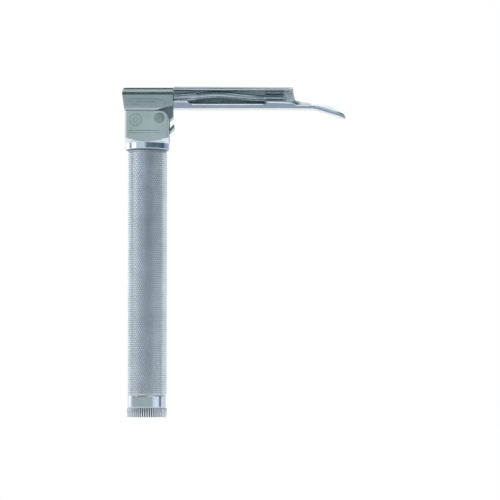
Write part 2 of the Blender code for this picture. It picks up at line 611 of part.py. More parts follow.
def build_light_guide(blade):
    tube_end = FERRULE_END - 0.5
    tube = pipe(guide_route(BLADE_START, tube_end, 18), GUIDE_R, GUIDE_CORE_R)
    node("light_guide_tube", tube, "dark steel", blade)
    sleeve = pipe(guide_route(BLADE_START, SLEEVE_END, 4), SLEEVE_R, GUIDE_R + FIT)
    node("light_guide_sleeve", sleeve, "satin steel", blade)
    bore, nose_r = GUIDE_R + FIT, 0.9
    ferrule = [(bore, FERRULE_START), (FERRULE_R - 0.3, FERRULE_START), (FERRULE_R, FERRULE_START + 0.5)]
    nose = arc((FERRULE_R - nose_r, FERRULE_END - nose_r), nose_r, 0.0, 90.0, 4)
    ferrule += [(radius, x) for radius, x in nose if radius > bore]
    ferrule += [(bore, FERRULE_END)]
    end_point = (GUIDE_END_Y, GUIDE_END_Z)
    node("light_guide_ferrule", turned(ferrule, 20, "X", end_point), "satin steel", blade)
    fibres = fibre_route(INPUT_FOOT + 0.1, BLOCK_FRONT) + guide_route(BLADE_START, tube_end - 0.05, 18)
    node("fibre_bundle", sweep(fibres, FIBRE_R, 8), "glass fibre", blade)
    shell = [(INPUT_CORE_R, INPUT_FOOT + 0.05), (INPUT_R - 0.35, INPUT_FOOT), (INPUT_R, INPUT_FOOT + 0.4)]
    shell += [(INPUT_R, INPUT_TOP), (INPUT_CORE_R, INPUT_TOP)]
    node("light_input_ferrule", turned(shell, 16), "polished steel", blade)


def blade_floor(x):
    """Underside of the blade: level, then a smooth bend down towards the tip."""
    spread = BEND_R * BEND_SLOPE
    past = x - (BEND_START - spread / 2.0)
    if past <= 0.0:
        return BLADE_BOTTOM
    if past < spread:
        return BLADE_BOTTOM - past * past / (2.0 * BEND_R)
    return BLADE_BOTTOM - spread * BEND_SLOPE / 2.0 - (past - spread) * BEND_SLOPE


def near_rim(x):
    """Top of the low wall, with a long scooped window below the light tube."""
    rim = ((19.0, RIM_HIGH), (22.6, WINDOW_LOW), (56.3, WINDOW_LOW), (58.4, RIM_HIGH - 0.2), (71.0, 152.7))
    low = ((71.0, 152.7), (82.0, 151.2))
    if x <= 71.0:
        return blend(rim, x)
    return min(blend(low, x), blade_floor(x) + 2.2)


def half_width(x):
    """Half the blade's width on the sheet's middle line, closing to a round blunt tip."""
    straight = blend(((58.0, 5.7), (92.0, 5.0)), x)
    past = max(0.0, x - (BLADE_END - TIP_LENGTH)) / (TIP_LENGTH + 0.35)
    return straight * math.sqrt(max(0.0, 1.0 - past * past))


def blade_line(x):
    """Middle line of the sheet at a station: low wall, floor, web and rolled flange, in Y and Z."""
    half, floor = half_width(x), blade_floor(x) + SHEET / 2.0
    rim = near_rim(x) - SHEET / 2.0
    near_r = min(NEAR_CORNER_R, rim - floor - 0.05, half * 0.8)
    far_r = min(FAR_CORNER_R, half * 0.9)
    foot = -half + NEAR_FOOT_IN
    flange = BLADE_TOP - SHEET / 2.0 - BLADE_TOP_DROP * (x - BLADE_START) / (WEB_END - BLADE_START)
    web_foot, web_top = floor + far_r, flange - LIP_R
    edge = min(FLANGE_EDGE, half - LIP_R - 0.1)
    line = [(foot - NEAR_SLOPE * (rim - floor - near_r), rim)]
    line += arc((foot + near_r, floor + near_r), near_r, 180.0, 270.0, 5)
    line += [(0.0, floor)]
    line += arc((half - far_r, web_foot), far_r, -90.0, 0.0, 6)
    line += [(half, (web_foot + web_top) / 2.0)]
    line += arc((half - LIP_R, web_top), LIP_R, 0.0, 90.0, 4)
    return line + arc((edge, flange - ROLL_R), ROLL_R, 90.0, ROLL_TURN_DEG, 4)


def thicken(line, thickness):
    """A closed outline of constant thickness round a middle line, with rounded ends."""
    line = [Vector(point) for point in line]
    left, right = [], []
    for i, point in enumerate(line):
        along = (line[min(i + 1, len(line) - 1)] - line[max(i - 1, 0)]).normalized()
        across = Vector((-along.y, along.x)) * thickness / 2.0
        left.append(point + across)
        right.append(point - across)
    ends = []
    for point, edge in ((line[-1], left[-1]), (line[0], right[0])):
        spoke = edge - point
        turn = math.degrees(math.atan2(spoke.y, spoke.x))
        ends.append(arc(point, thickness / 2.0, turn, turn - 180.0, 3)[1:-1])
    return [tuple(p) for p in left] + ends[0] + [tuple(p) for p in reversed(right)] + ends[1]


def trim_outline():
    """What is cut off above the blade: the web's end, and the wall that falls away to the tip."""
    web_end = [(WEB_END - 1.0, BLADE_TOP + 2.0), (WEB_END - 0.9, BLADE_TOP - BLADE_TOP_DROP)]
    inner = arc((WEB_END + 1.1, 155.7), 1.0, 190.0, 262.0, 4)
    crest = [(78.4, 153.7), (83.5, 152.9), (87.6, 152.2), (89.9, 151.7), (92.2, 150.7)]
    nose = [(94.0, 149.3), (95.4, 147.8), (96.3, 146.4), (98.0, 145.9)]
    return web_end + inner + crest + nose + [(98.0, BLADE_TOP + 2.0)]


def blade_stations():
    stations = [BLADE_START, 16.0, 19.0, 20.2, 21.4, 22.6, 28.0, 40.0, 50.0, 56.3, 57.0, 57.7, 58.4]
    stations += [64.0, 70.0, 72.5, 75.0, 77.0, 79.0]
    bend = [79.0 + 1.5 * i for i in range(1, 9)]
    tip = [BLADE_END - TIP_LENGTH * (1.0 - math.sin(math.radians(90.0 * i / 7.0))) for i in range(8)]
    return stations + bend + [x for x in tip if x > bend[-1]]


def build_spatula(blade):
    sections = []
    for x in blade_stations():
        sections.append([(x, y, z) for y, z in thicken(blade_line(x), SHEET)])
    spatula = node("blade_spatula", loft(sections), "polished steel", blade)
    carve(spatula, prism(trim_outline(), -9.0, 9.0, "Y"))


def main():
    clear_scene()
    handle = pivot("handle_origin")
    build_barrel(handle)
    build_head(handle)
    build_pin(handle)
    build_batteries(handle)
    build_lamp_seat(handle)
    build_lamp(pivot("lamp_slide", (0.0, 0.0, CARRIER_FOOT)))
    build_cap(pivot("cap_turn"))
    build_cap_contact(pivot("cap_travel"))
    blade = pivot("blade_pivot", (PIN_X, 0.0, PIN_Z))
    build_block(blade)
    front = pivot("ball_slide_front", (BALL_X, -BALL_Y, BALL_Z))
    back = pivot("ball_slide_back", (BALL_X, BALL_Y, BALL_Z))
    build_detents(blade, {"front": front, "back": back})
    build_light_guide(blade)
    build_spatula(blade)


main()
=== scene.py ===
import math

import bmesh
import bpy
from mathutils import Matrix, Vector


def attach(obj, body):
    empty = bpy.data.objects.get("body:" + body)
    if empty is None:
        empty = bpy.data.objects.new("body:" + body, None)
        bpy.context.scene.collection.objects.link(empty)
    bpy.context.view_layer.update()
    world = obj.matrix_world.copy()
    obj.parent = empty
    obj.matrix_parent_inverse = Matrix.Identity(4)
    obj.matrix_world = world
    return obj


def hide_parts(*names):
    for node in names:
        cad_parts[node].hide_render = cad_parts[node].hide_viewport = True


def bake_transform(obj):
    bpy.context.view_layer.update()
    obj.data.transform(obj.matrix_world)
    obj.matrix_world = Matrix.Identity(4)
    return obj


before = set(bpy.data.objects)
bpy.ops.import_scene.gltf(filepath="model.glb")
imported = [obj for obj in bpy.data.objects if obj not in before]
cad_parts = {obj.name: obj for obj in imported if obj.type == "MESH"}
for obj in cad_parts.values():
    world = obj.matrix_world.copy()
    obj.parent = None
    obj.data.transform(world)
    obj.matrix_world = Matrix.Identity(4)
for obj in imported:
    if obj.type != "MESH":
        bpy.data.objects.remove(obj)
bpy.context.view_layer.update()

# The CAD model is in metres; the shapes below are written in millimetres of the same frame.
MM = 0.001
FIT = 0.1  # gap left where two pieces touch

# Handle: barrel and end cap
BARREL_R, BARREL_BORE_R = 9.5, 7.75
FOOT_BAND_R = 9.35
BARREL_FOOT, BAND_TOP, BARREL_TOP = 4.6, 10.3, 129.2
KNURL_AROUND, KNURL_PITCH, KNURL_DEPTH, KNURL_FLAT = 55, 2.13, 0.36, 0.40
CAP_R, CAP_FLUTE_DEPTH, CAP_FLUTES = 9.7, 0.5, 54
CAP_TOP, CAP_SPIGOT_TOP = 4.5, 12.0
CAP_SPIGOT_R, CAP_BORE_R, CAP_FLOOR = 7.4, 5.6, 2.6
THREAD_PITCH, THREAD_TURNS, THREAD_DEPTH, THREAD_FLANK, THREAD_FLAT = 1.0, 4, 0.24, 0.34, 0.06
SPRING_GAP = 0.05  # left at each end of a coil
CAP_GROOVE_FOOT, CAP_GROOVE_TOP, CAP_GROOVE_DEPTH = 5.5, 7.1, 0.6
SEAL_R = 0.36
CAP_SPRING_FOOT_R, CAP_SPRING_TOP_R, CAP_WIRE = 4.6, 2.6, 0.4

# Two AA cells
CELL_R, CELL_BODY, CELL_NUB_R, CELL_NUB = 7.15, 49.3, 2.7, 1.2
CELL_BOTTOMS = {"battery_lower": 15.9, "battery_upper": 66.6}

# Head: square fork on a turned collar
HEAD_HALF, HEAD_TOP, HEAD_CORNER_R = 10.7, 147.95, 1.2
HEAD_FRONT_R = 4.6
COLLAR_R, COLLAR_LOW_R = 10.65, 9.6
COLLAR_FOOT, COLLAR_EDGE, COLLAR_TOP = 129.3, 129.9, 132.9
NUT_CHAMFER_SLOPE = 0.5
SPIGOT_R, SPIGOT_FOOT = 7.6, 118.9
SLOT_HALF, SLOT_FLOOR, SLOT_RELIEF_R = 5.9, 137.9, 8.4
LAMP_BORE_R, LAMP_BORE_TOP = 5.3, 133.0
LAMP_NECK_R, LAMP_NECK_TOP, LAMP_RECESS_R = 3.3, 136.2, 2.8

# Hinge pin
PIN_X, PIN_Z = 6.2, 144.5
PIN_R, PIN_HOLE_R, PIN_HEAD_R, PIN_HEAD = 1.55, 1.6, 2.35, 0.9

# Blade block and heel
BLOCK_HALF, BLOCK_BOTTOM, BLOCK_TOP, BLOCK_FRONT = 8.8, 148.35, 160.0, 12.6
BLOCK_FILLET, BLOCK_CHAMFER, BLOCK_CHAMFER_IN = 4.2, 1.5, 0.5
BLOCK_EDGE_DEG = 12.0  # crease where the side runs into the rounded shoulder
BLOCK_PAST = 16.0  # length of the bar the block is cut from, each way
BLOCK_REAR_TOP, BLOCK_REAR_MID, BLOCK_REAR_BOTTOM = (-10.4, 160.0), (-12.0, 156.6), (-10.9, 148.35)
BLOCK_SLOPE_START, BLOCK_SLOPE_END = 3.6, 150.85
HEEL_HALF, HEEL_REAR, HEEL_BOTTOM = 5.4, -10.6, 138.4
HOOK_SEAT_R, HOOK_OUTER_R, HOOK_ENTRY_DEG, HOOK_MOUTH_DEG = 1.63, 8.0, -26.0, 40.0
NOSE_TIP = (4.75, -0.45)
CLAW_ROOT, CLAW_TIP = (5.1, -4.2), (6.8, -2.5)

# Spring balls, one on each side of the heel
SIDES = ((-1.0, "front"), (1.0, "back"))
BALL_X, BALL_Z, BALL_R, BALL_Y = -7.5, 143.3, 1.9, 4.35
BALL_HOLE_R, BALL_RING_R, BALL_RING = 2.05, 2.55, 0.6
BALL_RING_BORE_R, BALL_RING_MOUTH_R, BALL_RING_LIP_R = 1.97, 1.84, 1.76
BALL_SPRING_R, BALL_WIRE = 1.1, 0.22
GROOVE_HALF, GROOVE_FLOOR, DIMPLE_FLOOR = 1.45, 6.4, 6.75
GROOVE_AHEAD_DEG, GROOVE_BEHIND_DEG = 5.0, 30.0  # how far the ball's track runs past its rest

# Light path
INPUT_R, INPUT_CORE_R, INPUT_TOP, INPUT_FOOT = 1.5, 1.05, 141.5, 137.1
FIBRE_R, FIBRE_BORE_R = 0.95, 1.15
FIBRE_BEND_R, GUIDE_Y, GUIDE_Z = 4.4, 1.6, 155.6
GUIDE_R, GUIDE_CORE_R = 1.75, 1.3
GUIDE_CREST, GUIDE_CREST_X, GUIDE_END_Z, GUIDE_END_Y = 157.1, 34.0, 155.45, 2.6
SLEEVE_R, SLEEVE_END = 2.15, 23.7
FERRULE_R, FERRULE_START, FERRULE_END = 2.35, 57.0, 67.3

# Lamp
RING_FOOT, RING_TOP = 119.9, 121.3
CARRIER_FOOT, CARRIER_TOP, CARRIER_R = 124.0, 130.7, 4.8
LAMP_BASE_R, LAMP_FLANGE_R, LAMP_BASE_FOOT, LAMP_BASE_TOP = 2.2, 3.4, 128.6, 133.2
BULB_R, BULB_FOOT, BULB_TOP = 1.25, 133.3, 137.0
BUSH_FLANGE_FOOT = 131.7
CONTACT_R, CONTACT_HEAD_R, CONTACT_FOOT, CONTACT_TOP = 0.7, 1.8, 117.95, 128.45
BULB_WALL = 0.22
LAMP_SPRING_R, LAMP_WIRE = 4.1, 0.3
POST_OUT, POST_R, FILAMENT_R, FILAMENT_WIRE_R = 0.42, 0.06, 0.11, 0.025

# Formed blade
SHEET = 1.1
BLADE_START, WEB_END, BEND_START, BLADE_END = 12.7, 71.8, 81.0, 96.5
BLADE_BOTTOM, BLADE_TOP, BLADE_TOP_DROP = 149.4, 161.0, 0.4
BEND_SLOPE, BEND_R = 0.298, 14.0
NEAR_CORNER_R, NEAR_FOOT_IN, NEAR_SLOPE, FAR_CORNER_R = 0.9, 0.27, 0.15, 5.0
LIP_R, FLANGE_EDGE, ROLL_R, ROLL_TURN_DEG = 1.25, 0.6, 0.7, 170.0
WINDOW_LOW, RIM_HIGH = 151.9, 153.2
TROUGH_FLARE_DEG = 34.0  # how far the low far wall leans out past the web
RIM_CHAMFER, RIM_CREST, RIM_ROUND, RIM_DROP = 0.45, 0.1, 0.25, 0.08  # how the low wall's rim is finished
NEAR_EDGE_R, NEAR_EDGE_IN, NEAR_STEPS = 0.45, 0.05, 12  # outer edge below the low wall
TIP_LENGTH = 4.2


# Solids: points in millimetres and faces


def arc(centre, radius, start_deg, end_deg, steps):
    """Points along an arc in a plane, both ends included."""
    turns = [math.radians(start_deg + (end_deg - start_deg) * i / steps) for i in range(steps + 1)]
    return [(centre[0] + radius * math.cos(a), centre[1] + radius * math.sin(a)) for a in turns]


def onto(axis, along, across):
    """A point at a height along an axis, with the two coordinates across it in X, Y, Z order."""
    u, v = across
    return {"X": (along, u, v), "Y": (u, along, v), "Z": (u, v, along)}[axis]


def rings_to_solid(rings, closed):
    """Joins rings of points, one of which may be a single point, into a surface."""
    points, starts = [], []
    for ring in rings:
        starts.append(len(points))
        points += ring
    faces = []
    pairs = list(zip(range(len(rings)), range(1, len(rings))))
    if closed:
        pairs.append((len(rings) - 1, 0))
    for low, high in pairs:
        count = max(len(rings[low]), len(rings[high]))
        for i in range(count):
            j = (i + 1) % count
            corners = [
                starts[low] + i % len(rings[low]),
                starts[low] + j % len(rings[low]),
                starts[high] + j % len(rings[high]),
                starts[high] + i % len(rings[high]),
            ]
            faces.append(list(dict.fromkeys(corners)))
    return points, faces


def turned(profile, steps, axis="Z", centre=(0.0, 0.0)):
    """Revolves (radius, height) points. A profile that ends on the axis is solid, any other is a ring."""
    rings = []
    for radius, height in profile:
        if radius == 0.0:
            rings.append([onto(axis, height, centre)])
            continue
        circle = arc(centre, radius, 0.0, 360.0, steps)[:-1]
        rings.append([onto(axis, height, point) for point in circle])
    return rings_to_solid(rings, closed=profile[0][0] != 0.0)


def mirrored(half):
    """A (radius, height) profile given from its far end to its middle, with its mirror image put first."""
    return [(radius, -height) for radius, height in half] + half[::-1]


def rounded(profile, radius):
    """The same (radius, height) profile with each inner corner cut to a small round."""
    steps = 3
    smooth = [profile[0]]
    for before, corner, after in zip(profile, profile[1:], profile[2:]):
        here = Vector(corner)
        back, ahead = Vector(before) - here, Vector(after) - here
        reach = min(radius, back.length * 0.45, ahead.length * 0.45)
        start, end = here + back.normalized() * reach, here + ahead.normalized() * reach
        for i in range(steps + 1):
            t = i / steps
            smooth.append(tuple(start * (1 - t) ** 2 + here * 2 * t * (1 - t) + end * t**2))
    return smooth + [profile[-1]]


def prism(outline, low, high, axis):
    """Extrudes a flat outline along an axis."""
    count = len(outline)
    points = [onto(axis, end, point) for end in (low, high) for point in outline]
    faces = [[i, (i + 1) % count, count + (i + 1) % count, count + i] for i in range(count)]
    return points, faces + [list(range(count)), list(range(count, 2 * count))]


def loft(sections):
    """Skins closed sections of equal point counts and caps both ends."""
    points, faces = rings_to_solid(sections, closed=False)
    count = len(sections[0])
    return points, faces + [list(range(count)), list(range(len(points) - count, len(points)))]


def sweep(path, radius, sides):
    """A round bar along a path, its section carried along without twist."""
    path = [Vector(point) for point in path]
    across = None
    sections = []
    for i, point in enumerate(path):
        ahead = (path[min(i + 1, len(path) - 1)] - path[max(i - 1, 0)]).normalized()
        start = across or ahead.orthogonal()
        across = (start - ahead * start.dot(ahead)).normalized()
        other = ahead.cross(across)
        circle = arc((0.0, 0.0), radius, 0.0, 360.0, sides)[:-1]
        sections.append([tuple(point + across * u + other * v) for u, v in circle])
    return loft(sections)


def pipe(path, radius, bore):
    """A tube along a path, open at both ends."""
    sides = 40
    outer, inner = sweep(path, radius, sides)[0], sweep(path, bore, sides)[0]
    rings = [outer[i : i + sides] for i in range(0, len(outer), sides)]
    rings += [inner[i : i + sides] for i in range(len(inner) - sides, -1, -sides)]
    return rings_to_solid(rings, closed=True)


def helix(axis, centre, radii, span, turns, steps=40):
    """The centre line of a coil whose radius runs from radii[0] to radii[1] along its span."""
    path = []
    for i in range(turns * steps + 1):
        part = i / (turns * steps)
        radius = radii[0] + (radii[1] - radii[0]) * part
        angle = 2.0 * math.pi * turns * part
        across = (centre[0] + radius * math.cos(angle), centre[1] + radius * math.sin(angle))
        path.append(onto(axis, span[0] + (span[1] - span[0]) * part, across))
    return path


def joined(*solids):
    """Several separate solids as one."""
    points, faces = [], []
    for more_points, more_faces in solids:
        faces += [[len(points) + corner for corner in face] for face in more_faces]
        points += more_points
    return points, faces


# Objects


def shape(name, solid):
    points, faces = solid
    mesh = bpy.data.meshes.new(name)
    mesh.from_pydata([Vector(point) * MM for point in points], [], faces)
    form = bmesh.new()
    form.from_mesh(mesh)
    bmesh.ops.recalc_face_normals(form, faces=form.faces)
    form.to_mesh(mesh)
    form.free()
    obj = bpy.data.objects.new(name, mesh)
    bpy.context.scene.collection.objects.link(obj)
    return obj


def settle(obj):
    """Replaces an object's mesh with what its modifiers make of it."""
    graph = bpy.context.evaluated_depsgraph_get()
    made = bpy.data.meshes.new_from_object(obj.evaluated_get(graph))
    obj.modifiers.clear()
    obj.data = made


def carve(obj, solid, operation="DIFFERENCE", material=None):
    """Cuts, keeps or adds a solid. The faces that it leaves take its material, where it has one."""
    helper = shape("helper", solid)
    modifier = obj.modifiers.new("carve", "BOOLEAN")
    if material:
        helper.data.materials.append(material)
        modifier.material_mode = "TRANSFER"
    modifier.operation = operation
    modifier.solver = "EXACT"
    modifier.object = helper
    settle(obj)
    bpy.data.objects.remove(helper, do_unlink=True)


def soften(obj, width, angle_deg, segments, where=None):
    """Rounds the sharp edges of an object, or those that a test on their middle point picks."""
    form = bmesh.new()
    form.from_mesh(obj.data)
    bmesh.ops.remove_doubles(form, verts=form.verts, dist=3e-6)
    bmesh.ops.dissolve_limit(
        form, angle_limit=math.radians(0.6), verts=form.verts, edges=form.edges
    )
    chosen = []
    for edge in form.edges:
        if len(edge.link_faces) != 2 or edge.calc_face_angle(0.0) < math.radians(angle_deg):
            continue
        middle = (edge.verts[0].co + edge.verts[1].co) / 2.0 / MM
        if where is None or where(middle):
            chosen.append(edge)
    bmesh.ops.bevel(
        form,
        geom=chosen,
        offset=width * MM,
        offset_type="OFFSET",
        segments=segments,
        profile=0.5,
        affect="EDGES",
        clamp_overlap=True,
    )
    form.to_mesh(obj.data)
    form.free()


def paint(obj, material, picks):
    """Gives a second material to the faces that a test on their centre and normal picks."""
    obj.data.materials.append(material)
    last = len(obj.data.materials) - 1
    for face in obj.data.polygons:
        if picks(face.center / MM, face.normal):
            face.material_index = last


def dress(obj, material, body, slot, *nodes, sharp_deg=34.0):
    """Gives a piece its material, its shading and its place in the frame.

    A coil has no body here and stays unattached.
    """
    if not obj.data.materials:
        obj.data.materials.append(material)
    obj.data.shade_smooth()
    obj.data.set_sharp_from_angle(angle=math.radians(sharp_deg))
    modifier = obj.modifiers.new("face_normals", "WEIGHTED_NORMAL")
    modifier.keep_sharp = True
    if body:
        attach(obj, body)
    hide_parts(*nodes)
    return obj


# Materials


class Nodes:
    """A node tree whose nodes are added by short calls."""

    def __init__(self, tree):
        self.tree = tree

    def add(self, kind, settings=(), **inputs):
        made = self.tree.nodes.new("ShaderNode" + kind)
        for key, value in dict(settings).items():
            setattr(made, key, value)
        for key, value in inputs.items():
            self.put(made.inputs[key.replace("_", " ")], value)
        return made

    def put(self, socket, value):
        if isinstance(value, bpy.types.NodeSocket):
            self.tree.links.new(value, socket)
        else:
            socket.default_value = value

    def math(self, operation, *values):
        made = self.add("Math", {"operation": operation})
        for socket, value in zip(made.inputs, values):
            self.put(socket, value)
        return made.outputs[0]

    def mix(self, share, a, b, mode="MIX"):
        made = self.add("Mix", {"data_type": "RGBA", "blend_type": mode})
        for place, value in ((0, share), (6, a), (7, b)):
            self.put(made.inputs[place], value)
        return made.outputs[2]

    def ramp(self, value, stops):
        """A colour ramp from (place, level) pairs, a level being a colour or one number for a grey."""
        made = self.add("ValToRGB", Fac=value)
        elements = made.color_ramp.elements
        elements[0].position, elements[1].position = stops[0][0], stops[-1][0]
        for place, _ in stops[1:-1]:
            elements.new(place)
        for element, (_, level) in zip(elements, stops):
            colour = (level,) * 3 if isinstance(level, float) else level
            element.color = (*colour, 1.0)
        return made.outputs[0]


class Shader(Nodes):
    """A material built on one principled surface."""

    def __init__(self, name):
        self.material = bpy.data.materials.new(name)
        self.material.use_nodes = True
        super().__init__(self.material.node_tree)
        self.surface = self.tree.nodes["Principled BSDF"]
        self.place = self.add("TexCoord").outputs["Object"]

    def set(self, **inputs):
        for key, value in inputs.items():
            self.put(self.surface.inputs[key.replace("_", " ")], value)

    def noise(self, per_mm, detail, roughness=0.5):
        """Noise whose grains are 1/per_mm long on each axis."""
        mapped = self.add("Mapping", Vector=self.place, Scale=[n / MM for n in per_mm])
        made = self.add("TexNoise", Vector=mapped.outputs[0], Scale=1.0, Detail=detail, Roughness=roughness)
        return made.outputs["Fac"]

    def remap(self, value, low, high, to_low=0.0, to_high=1.0, smooth=False):
        made = self.add("MapRange", {"interpolation_type": "SMOOTHSTEP" if smooth else "LINEAR"})
        for socket, number in zip(made.inputs, (value, low, high, to_low, to_high)):
            self.put(socket, number)
        return made.outputs[0]

    def height(self, axis):
        """One coordinate of the surface, in millimetres."""
        parts = self.add("SeparateXYZ", Vector=self.place)
        return self.math("DIVIDE", parts.outputs[axis], MM)

    def raise_by(self, heights):
        """Adds relief from (height field, depth in millimetres) pairs."""
        normal = None
        for field, depth in heights:
            made = self.add("Bump", Height=field, Strength=1.0, Distance=depth * MM)
            if normal:
                self.put(made.inputs["Normal"], normal)
            normal = made.outputs[0]
        self.set(Normal=normal)


def shade(colour, factor):
    return (*[min(1.0, part * factor) for part in colour], 1.0)


def metal(name, colour, rough, grain, relief, wear, groove=0.0):
    """Steel or brass with a directional grain, cloudy reflections, edges worn bright and, where groove is
    given, painted shade darkening the bottoms of grooves.

    grain is in lines per millimetre on each axis.
    """
    shader = Shader(name)
    lines = shader.noise(grain, 3.0, 0.6)
    clouds = shader.noise((0.09, 0.09, 0.09), 3.0, 0.55)
    smears = shader.noise((0.35, 0.3, 0.22), 2.0, 0.6)
    tone = shader.mix(shader.remap(clouds, 0.3, 0.7), shade(colour, 0.90), shade(colour, 1.07))
    tone = shader.mix(shader.remap(lines, 0.35, 0.75, 0.0, 0.35), tone, shade(colour, 0.78))
    gloss = shader.remap(smears, 0.3, 0.75, rough[0], rough[1])
    gloss = shader.math("ADD", gloss, shader.remap(lines, 0.3, 0.7, -0.10 * rough[1], 0.15 * rough[1]))
    if wear:
        point = shader.add("NewGeometry").outputs["Pointiness"]
        rubbed = shader.remap(point, 0.53, 0.62, 0.0, wear, smooth=True)
        tone = shader.mix(rubbed, tone, shade(colour, 1.35))
    # Painted shade: the groove attribute darkens the colour towards the bottoms of knurl and flute grooves.
    if groove:
        depth = shader.add("Attribute", {"attribute_name": "groove"}).outputs["Fac"]
        tone = shader.mix(shader.math("MULTIPLY", depth, groove), tone, shade(colour, 0.22))
        gloss = shader.math("ADD", gloss, shader.math("MULTIPLY", depth, 0.25))
    shader.set(Base_Color=tone, Roughness=gloss, Metallic=1.0)
    if relief:
        shader.raise_by([(lines, relief)])
    return shader.material


def plastic(name, colour, rough, relief=0.01, grain=6.0, sheen=0.0):
    shader = Shader(name)
    fine = shader.noise((grain, grain, grain), 3.0)
    clouds = shader.noise((0.2, 0.2, 0.2), 2.0)
    tone = shader.mix(shader.remap(clouds, 0.3, 0.7), shade(colour, 0.86), shade(colour, 1.08))
    shader.set(Base_Color=tone, Roughness=shader.remap(fine, 0.3, 0.7, rough - 0.06, rough + 0.08))
    shader.surface.inputs["Sheen Weight"].default_value = sheen
    shader.raise_by([(fine, relief)])
    return shader.material


def glass(name):
    shader = Shader(name)
    specks = shader.noise((3.0, 3.0, 3.0), 2.0)
    tone = shader.mix(shader.remap(specks, 0.4, 0.7), (0.93, 0.96, 0.97, 1.0), (0.82, 0.88, 0.90, 1.0))
    shader.set(Base_Color=tone, Roughness=shader.remap(specks, 0.3, 0.7, 0.01, 0.06))
    shader.surface.inputs["Transmission Weight"].default_value = 1.0
    shader.surface.inputs["IOR"].default_value = 1.5
    return shader.material


def fibres(name):
    """Thousands of clear fibres cemented together, each end a pale dot in a darker ground."""
    shader = Shader(name)
    cells = shader.add("TexVoronoi", {"feature": "DISTANCE_TO_EDGE"}, Vector=shader.place, Scale=9.0 / MM)
    ends = shader.remap(cells.outputs["Distance"], 0.02, 0.22)
    clouds = shader.noise((1.5, 1.5, 1.5), 2.0)
    bright = shader.mix(clouds, (0.86, 0.84, 0.70, 1.0), (0.95, 0.93, 0.84, 1.0))
    shader.set(Base_Color=shader.mix(ends, (0.24, 0.20, 0.12, 1.0), bright), Roughness=0.12)
    shader.surface.inputs["Transmission Weight"].default_value = 0.25
    shader.raise_by([(ends, 0.01)])
    return shader.material


def sleeve_print(name, bottom):
    """A cell's shrink sleeve: plain grey with one pale ring near the positive end."""
    shader = Shader(name)
    along = shader.height("Z")
    ring = shader.math(
        "MULTIPLY",
        shader.remap(along, bottom + 39.9, bottom + 40.0),
        shader.remap(along, bottom + 42.0, bottom + 42.1, 1.0, 0.0),
    )
    ends = shader.math(
        "ADD",
        shader.remap(along, bottom + 0.55, bottom + 0.65, 1.0, 0.0),
        shader.remap(along, bottom + CELL_BODY - 0.65, bottom + CELL_BODY - 0.55),
    )
    scuffs = shader.noise((1.2, 1.2, 0.3), 4.0, 0.65)
    grey = shader.mix(shader.remap(scuffs, 0.4, 0.75), (0.10, 0.12, 0.15, 1.0), (0.17, 0.19, 0.22, 1.0))
    tone = shader.mix(ring, grey, (0.55, 0.57, 0.60, 1.0))
    tone = shader.mix(ends, tone, (0.62, 0.63, 0.64, 1.0))
    shader.set(Base_Color=tone, Roughness=shader.remap(scuffs, 0.3, 0.8, 0.22, 0.42), Metallic=ends)
    shader.raise_by([(scuffs, 0.006)])
    return shader.material


# Painted shade: the last number of the knurled and fluted steels darkens their groove bottoms.
KNURLED = metal("knurled_steel_look", (0.84, 0.88, 0.93), (0.14, 0.24), (6.0, 6.0, 6.0), 0.002, 0.4, 0.45)
FLUTED = metal("fluted_steel_look", (0.74, 0.79, 0.83), (0.10, 0.18), (1.0, 1.0, 0.3), 0.001, 0.3, 1.0)
SATIN = metal("satin_steel_look", (0.67, 0.735, 0.71), (0.40, 0.50), (9.0, 9.0, 1.6), 0.008, 0.25)
BLOCK_STEEL = metal("block_steel_look", (0.50, 0.575, 0.575), (0.38, 0.46), (1.4, 9.0, 9.0), 0.008, 0.25)
# Polished shoulder steel, painted darker than the block so that the shoulders carry a painted dark
# reflection band.
SHOULDER_SHADE_STEEL = metal("shoulder_shade_steel_look", (0.42, 0.49, 0.48), (0.20, 0.28), (1.0, 8.0, 8.0), 0.0005, 0.2)
# Painted highlight: a brighter steel for the block's downward-facing chamfers, standing in for the pale
# table they reflect.
CHAMFER_HIGHLIGHT_STEEL = metal("chamfer_highlight_steel_look", (0.80, 0.86, 0.88), (0.16, 0.24), (1.0, 8.0, 8.0), 0.0005, 0.2)
# Polished heel steel, also painted dark as shade for the slot between the cheeks.
HEEL_SHADE_STEEL = metal("heel_shade_steel_look", (0.28, 0.33, 0.35), (0.18, 0.30), (2.0, 8.0, 2.0), 0.002, 0.3)
# Painted shade: a dark steel for the collar's downward-facing underside.
CONE_SHADE_STEEL = metal("cone_shade_steel_look", (0.26, 0.30, 0.33), (0.34, 0.42), (2.0, 2.0, 12.0), 0.002, 0.0)
ENGRAVED = metal("engraved_steel_look", (0.33, 0.38, 0.37), (0.45, 0.55), (4.0, 4.0, 4.0), 0.010, 0.0)
PIN_STEEL = metal("pin_steel_look", (0.42, 0.48, 0.45), (0.38, 0.48), (5.0, 5.0, 5.0), 0.006, 0.2)
BAND_STEEL = metal("band_steel_look", (0.76, 0.80, 0.83), (0.01, 0.03), (2.0, 2.0, 14.0), 0.0, 0.2)
POLISHED = metal("polished_steel_look", (0.74, 0.79, 0.83), (0.05, 0.10), (2.0, 2.0, 14.0), 0.0004, 0.2)
BLADE_STEEL = metal("blade_steel_look", (0.74, 0.78, 0.83), (0.18, 0.24), (0.6, 7.0, 7.0), 0.0, 0.2)
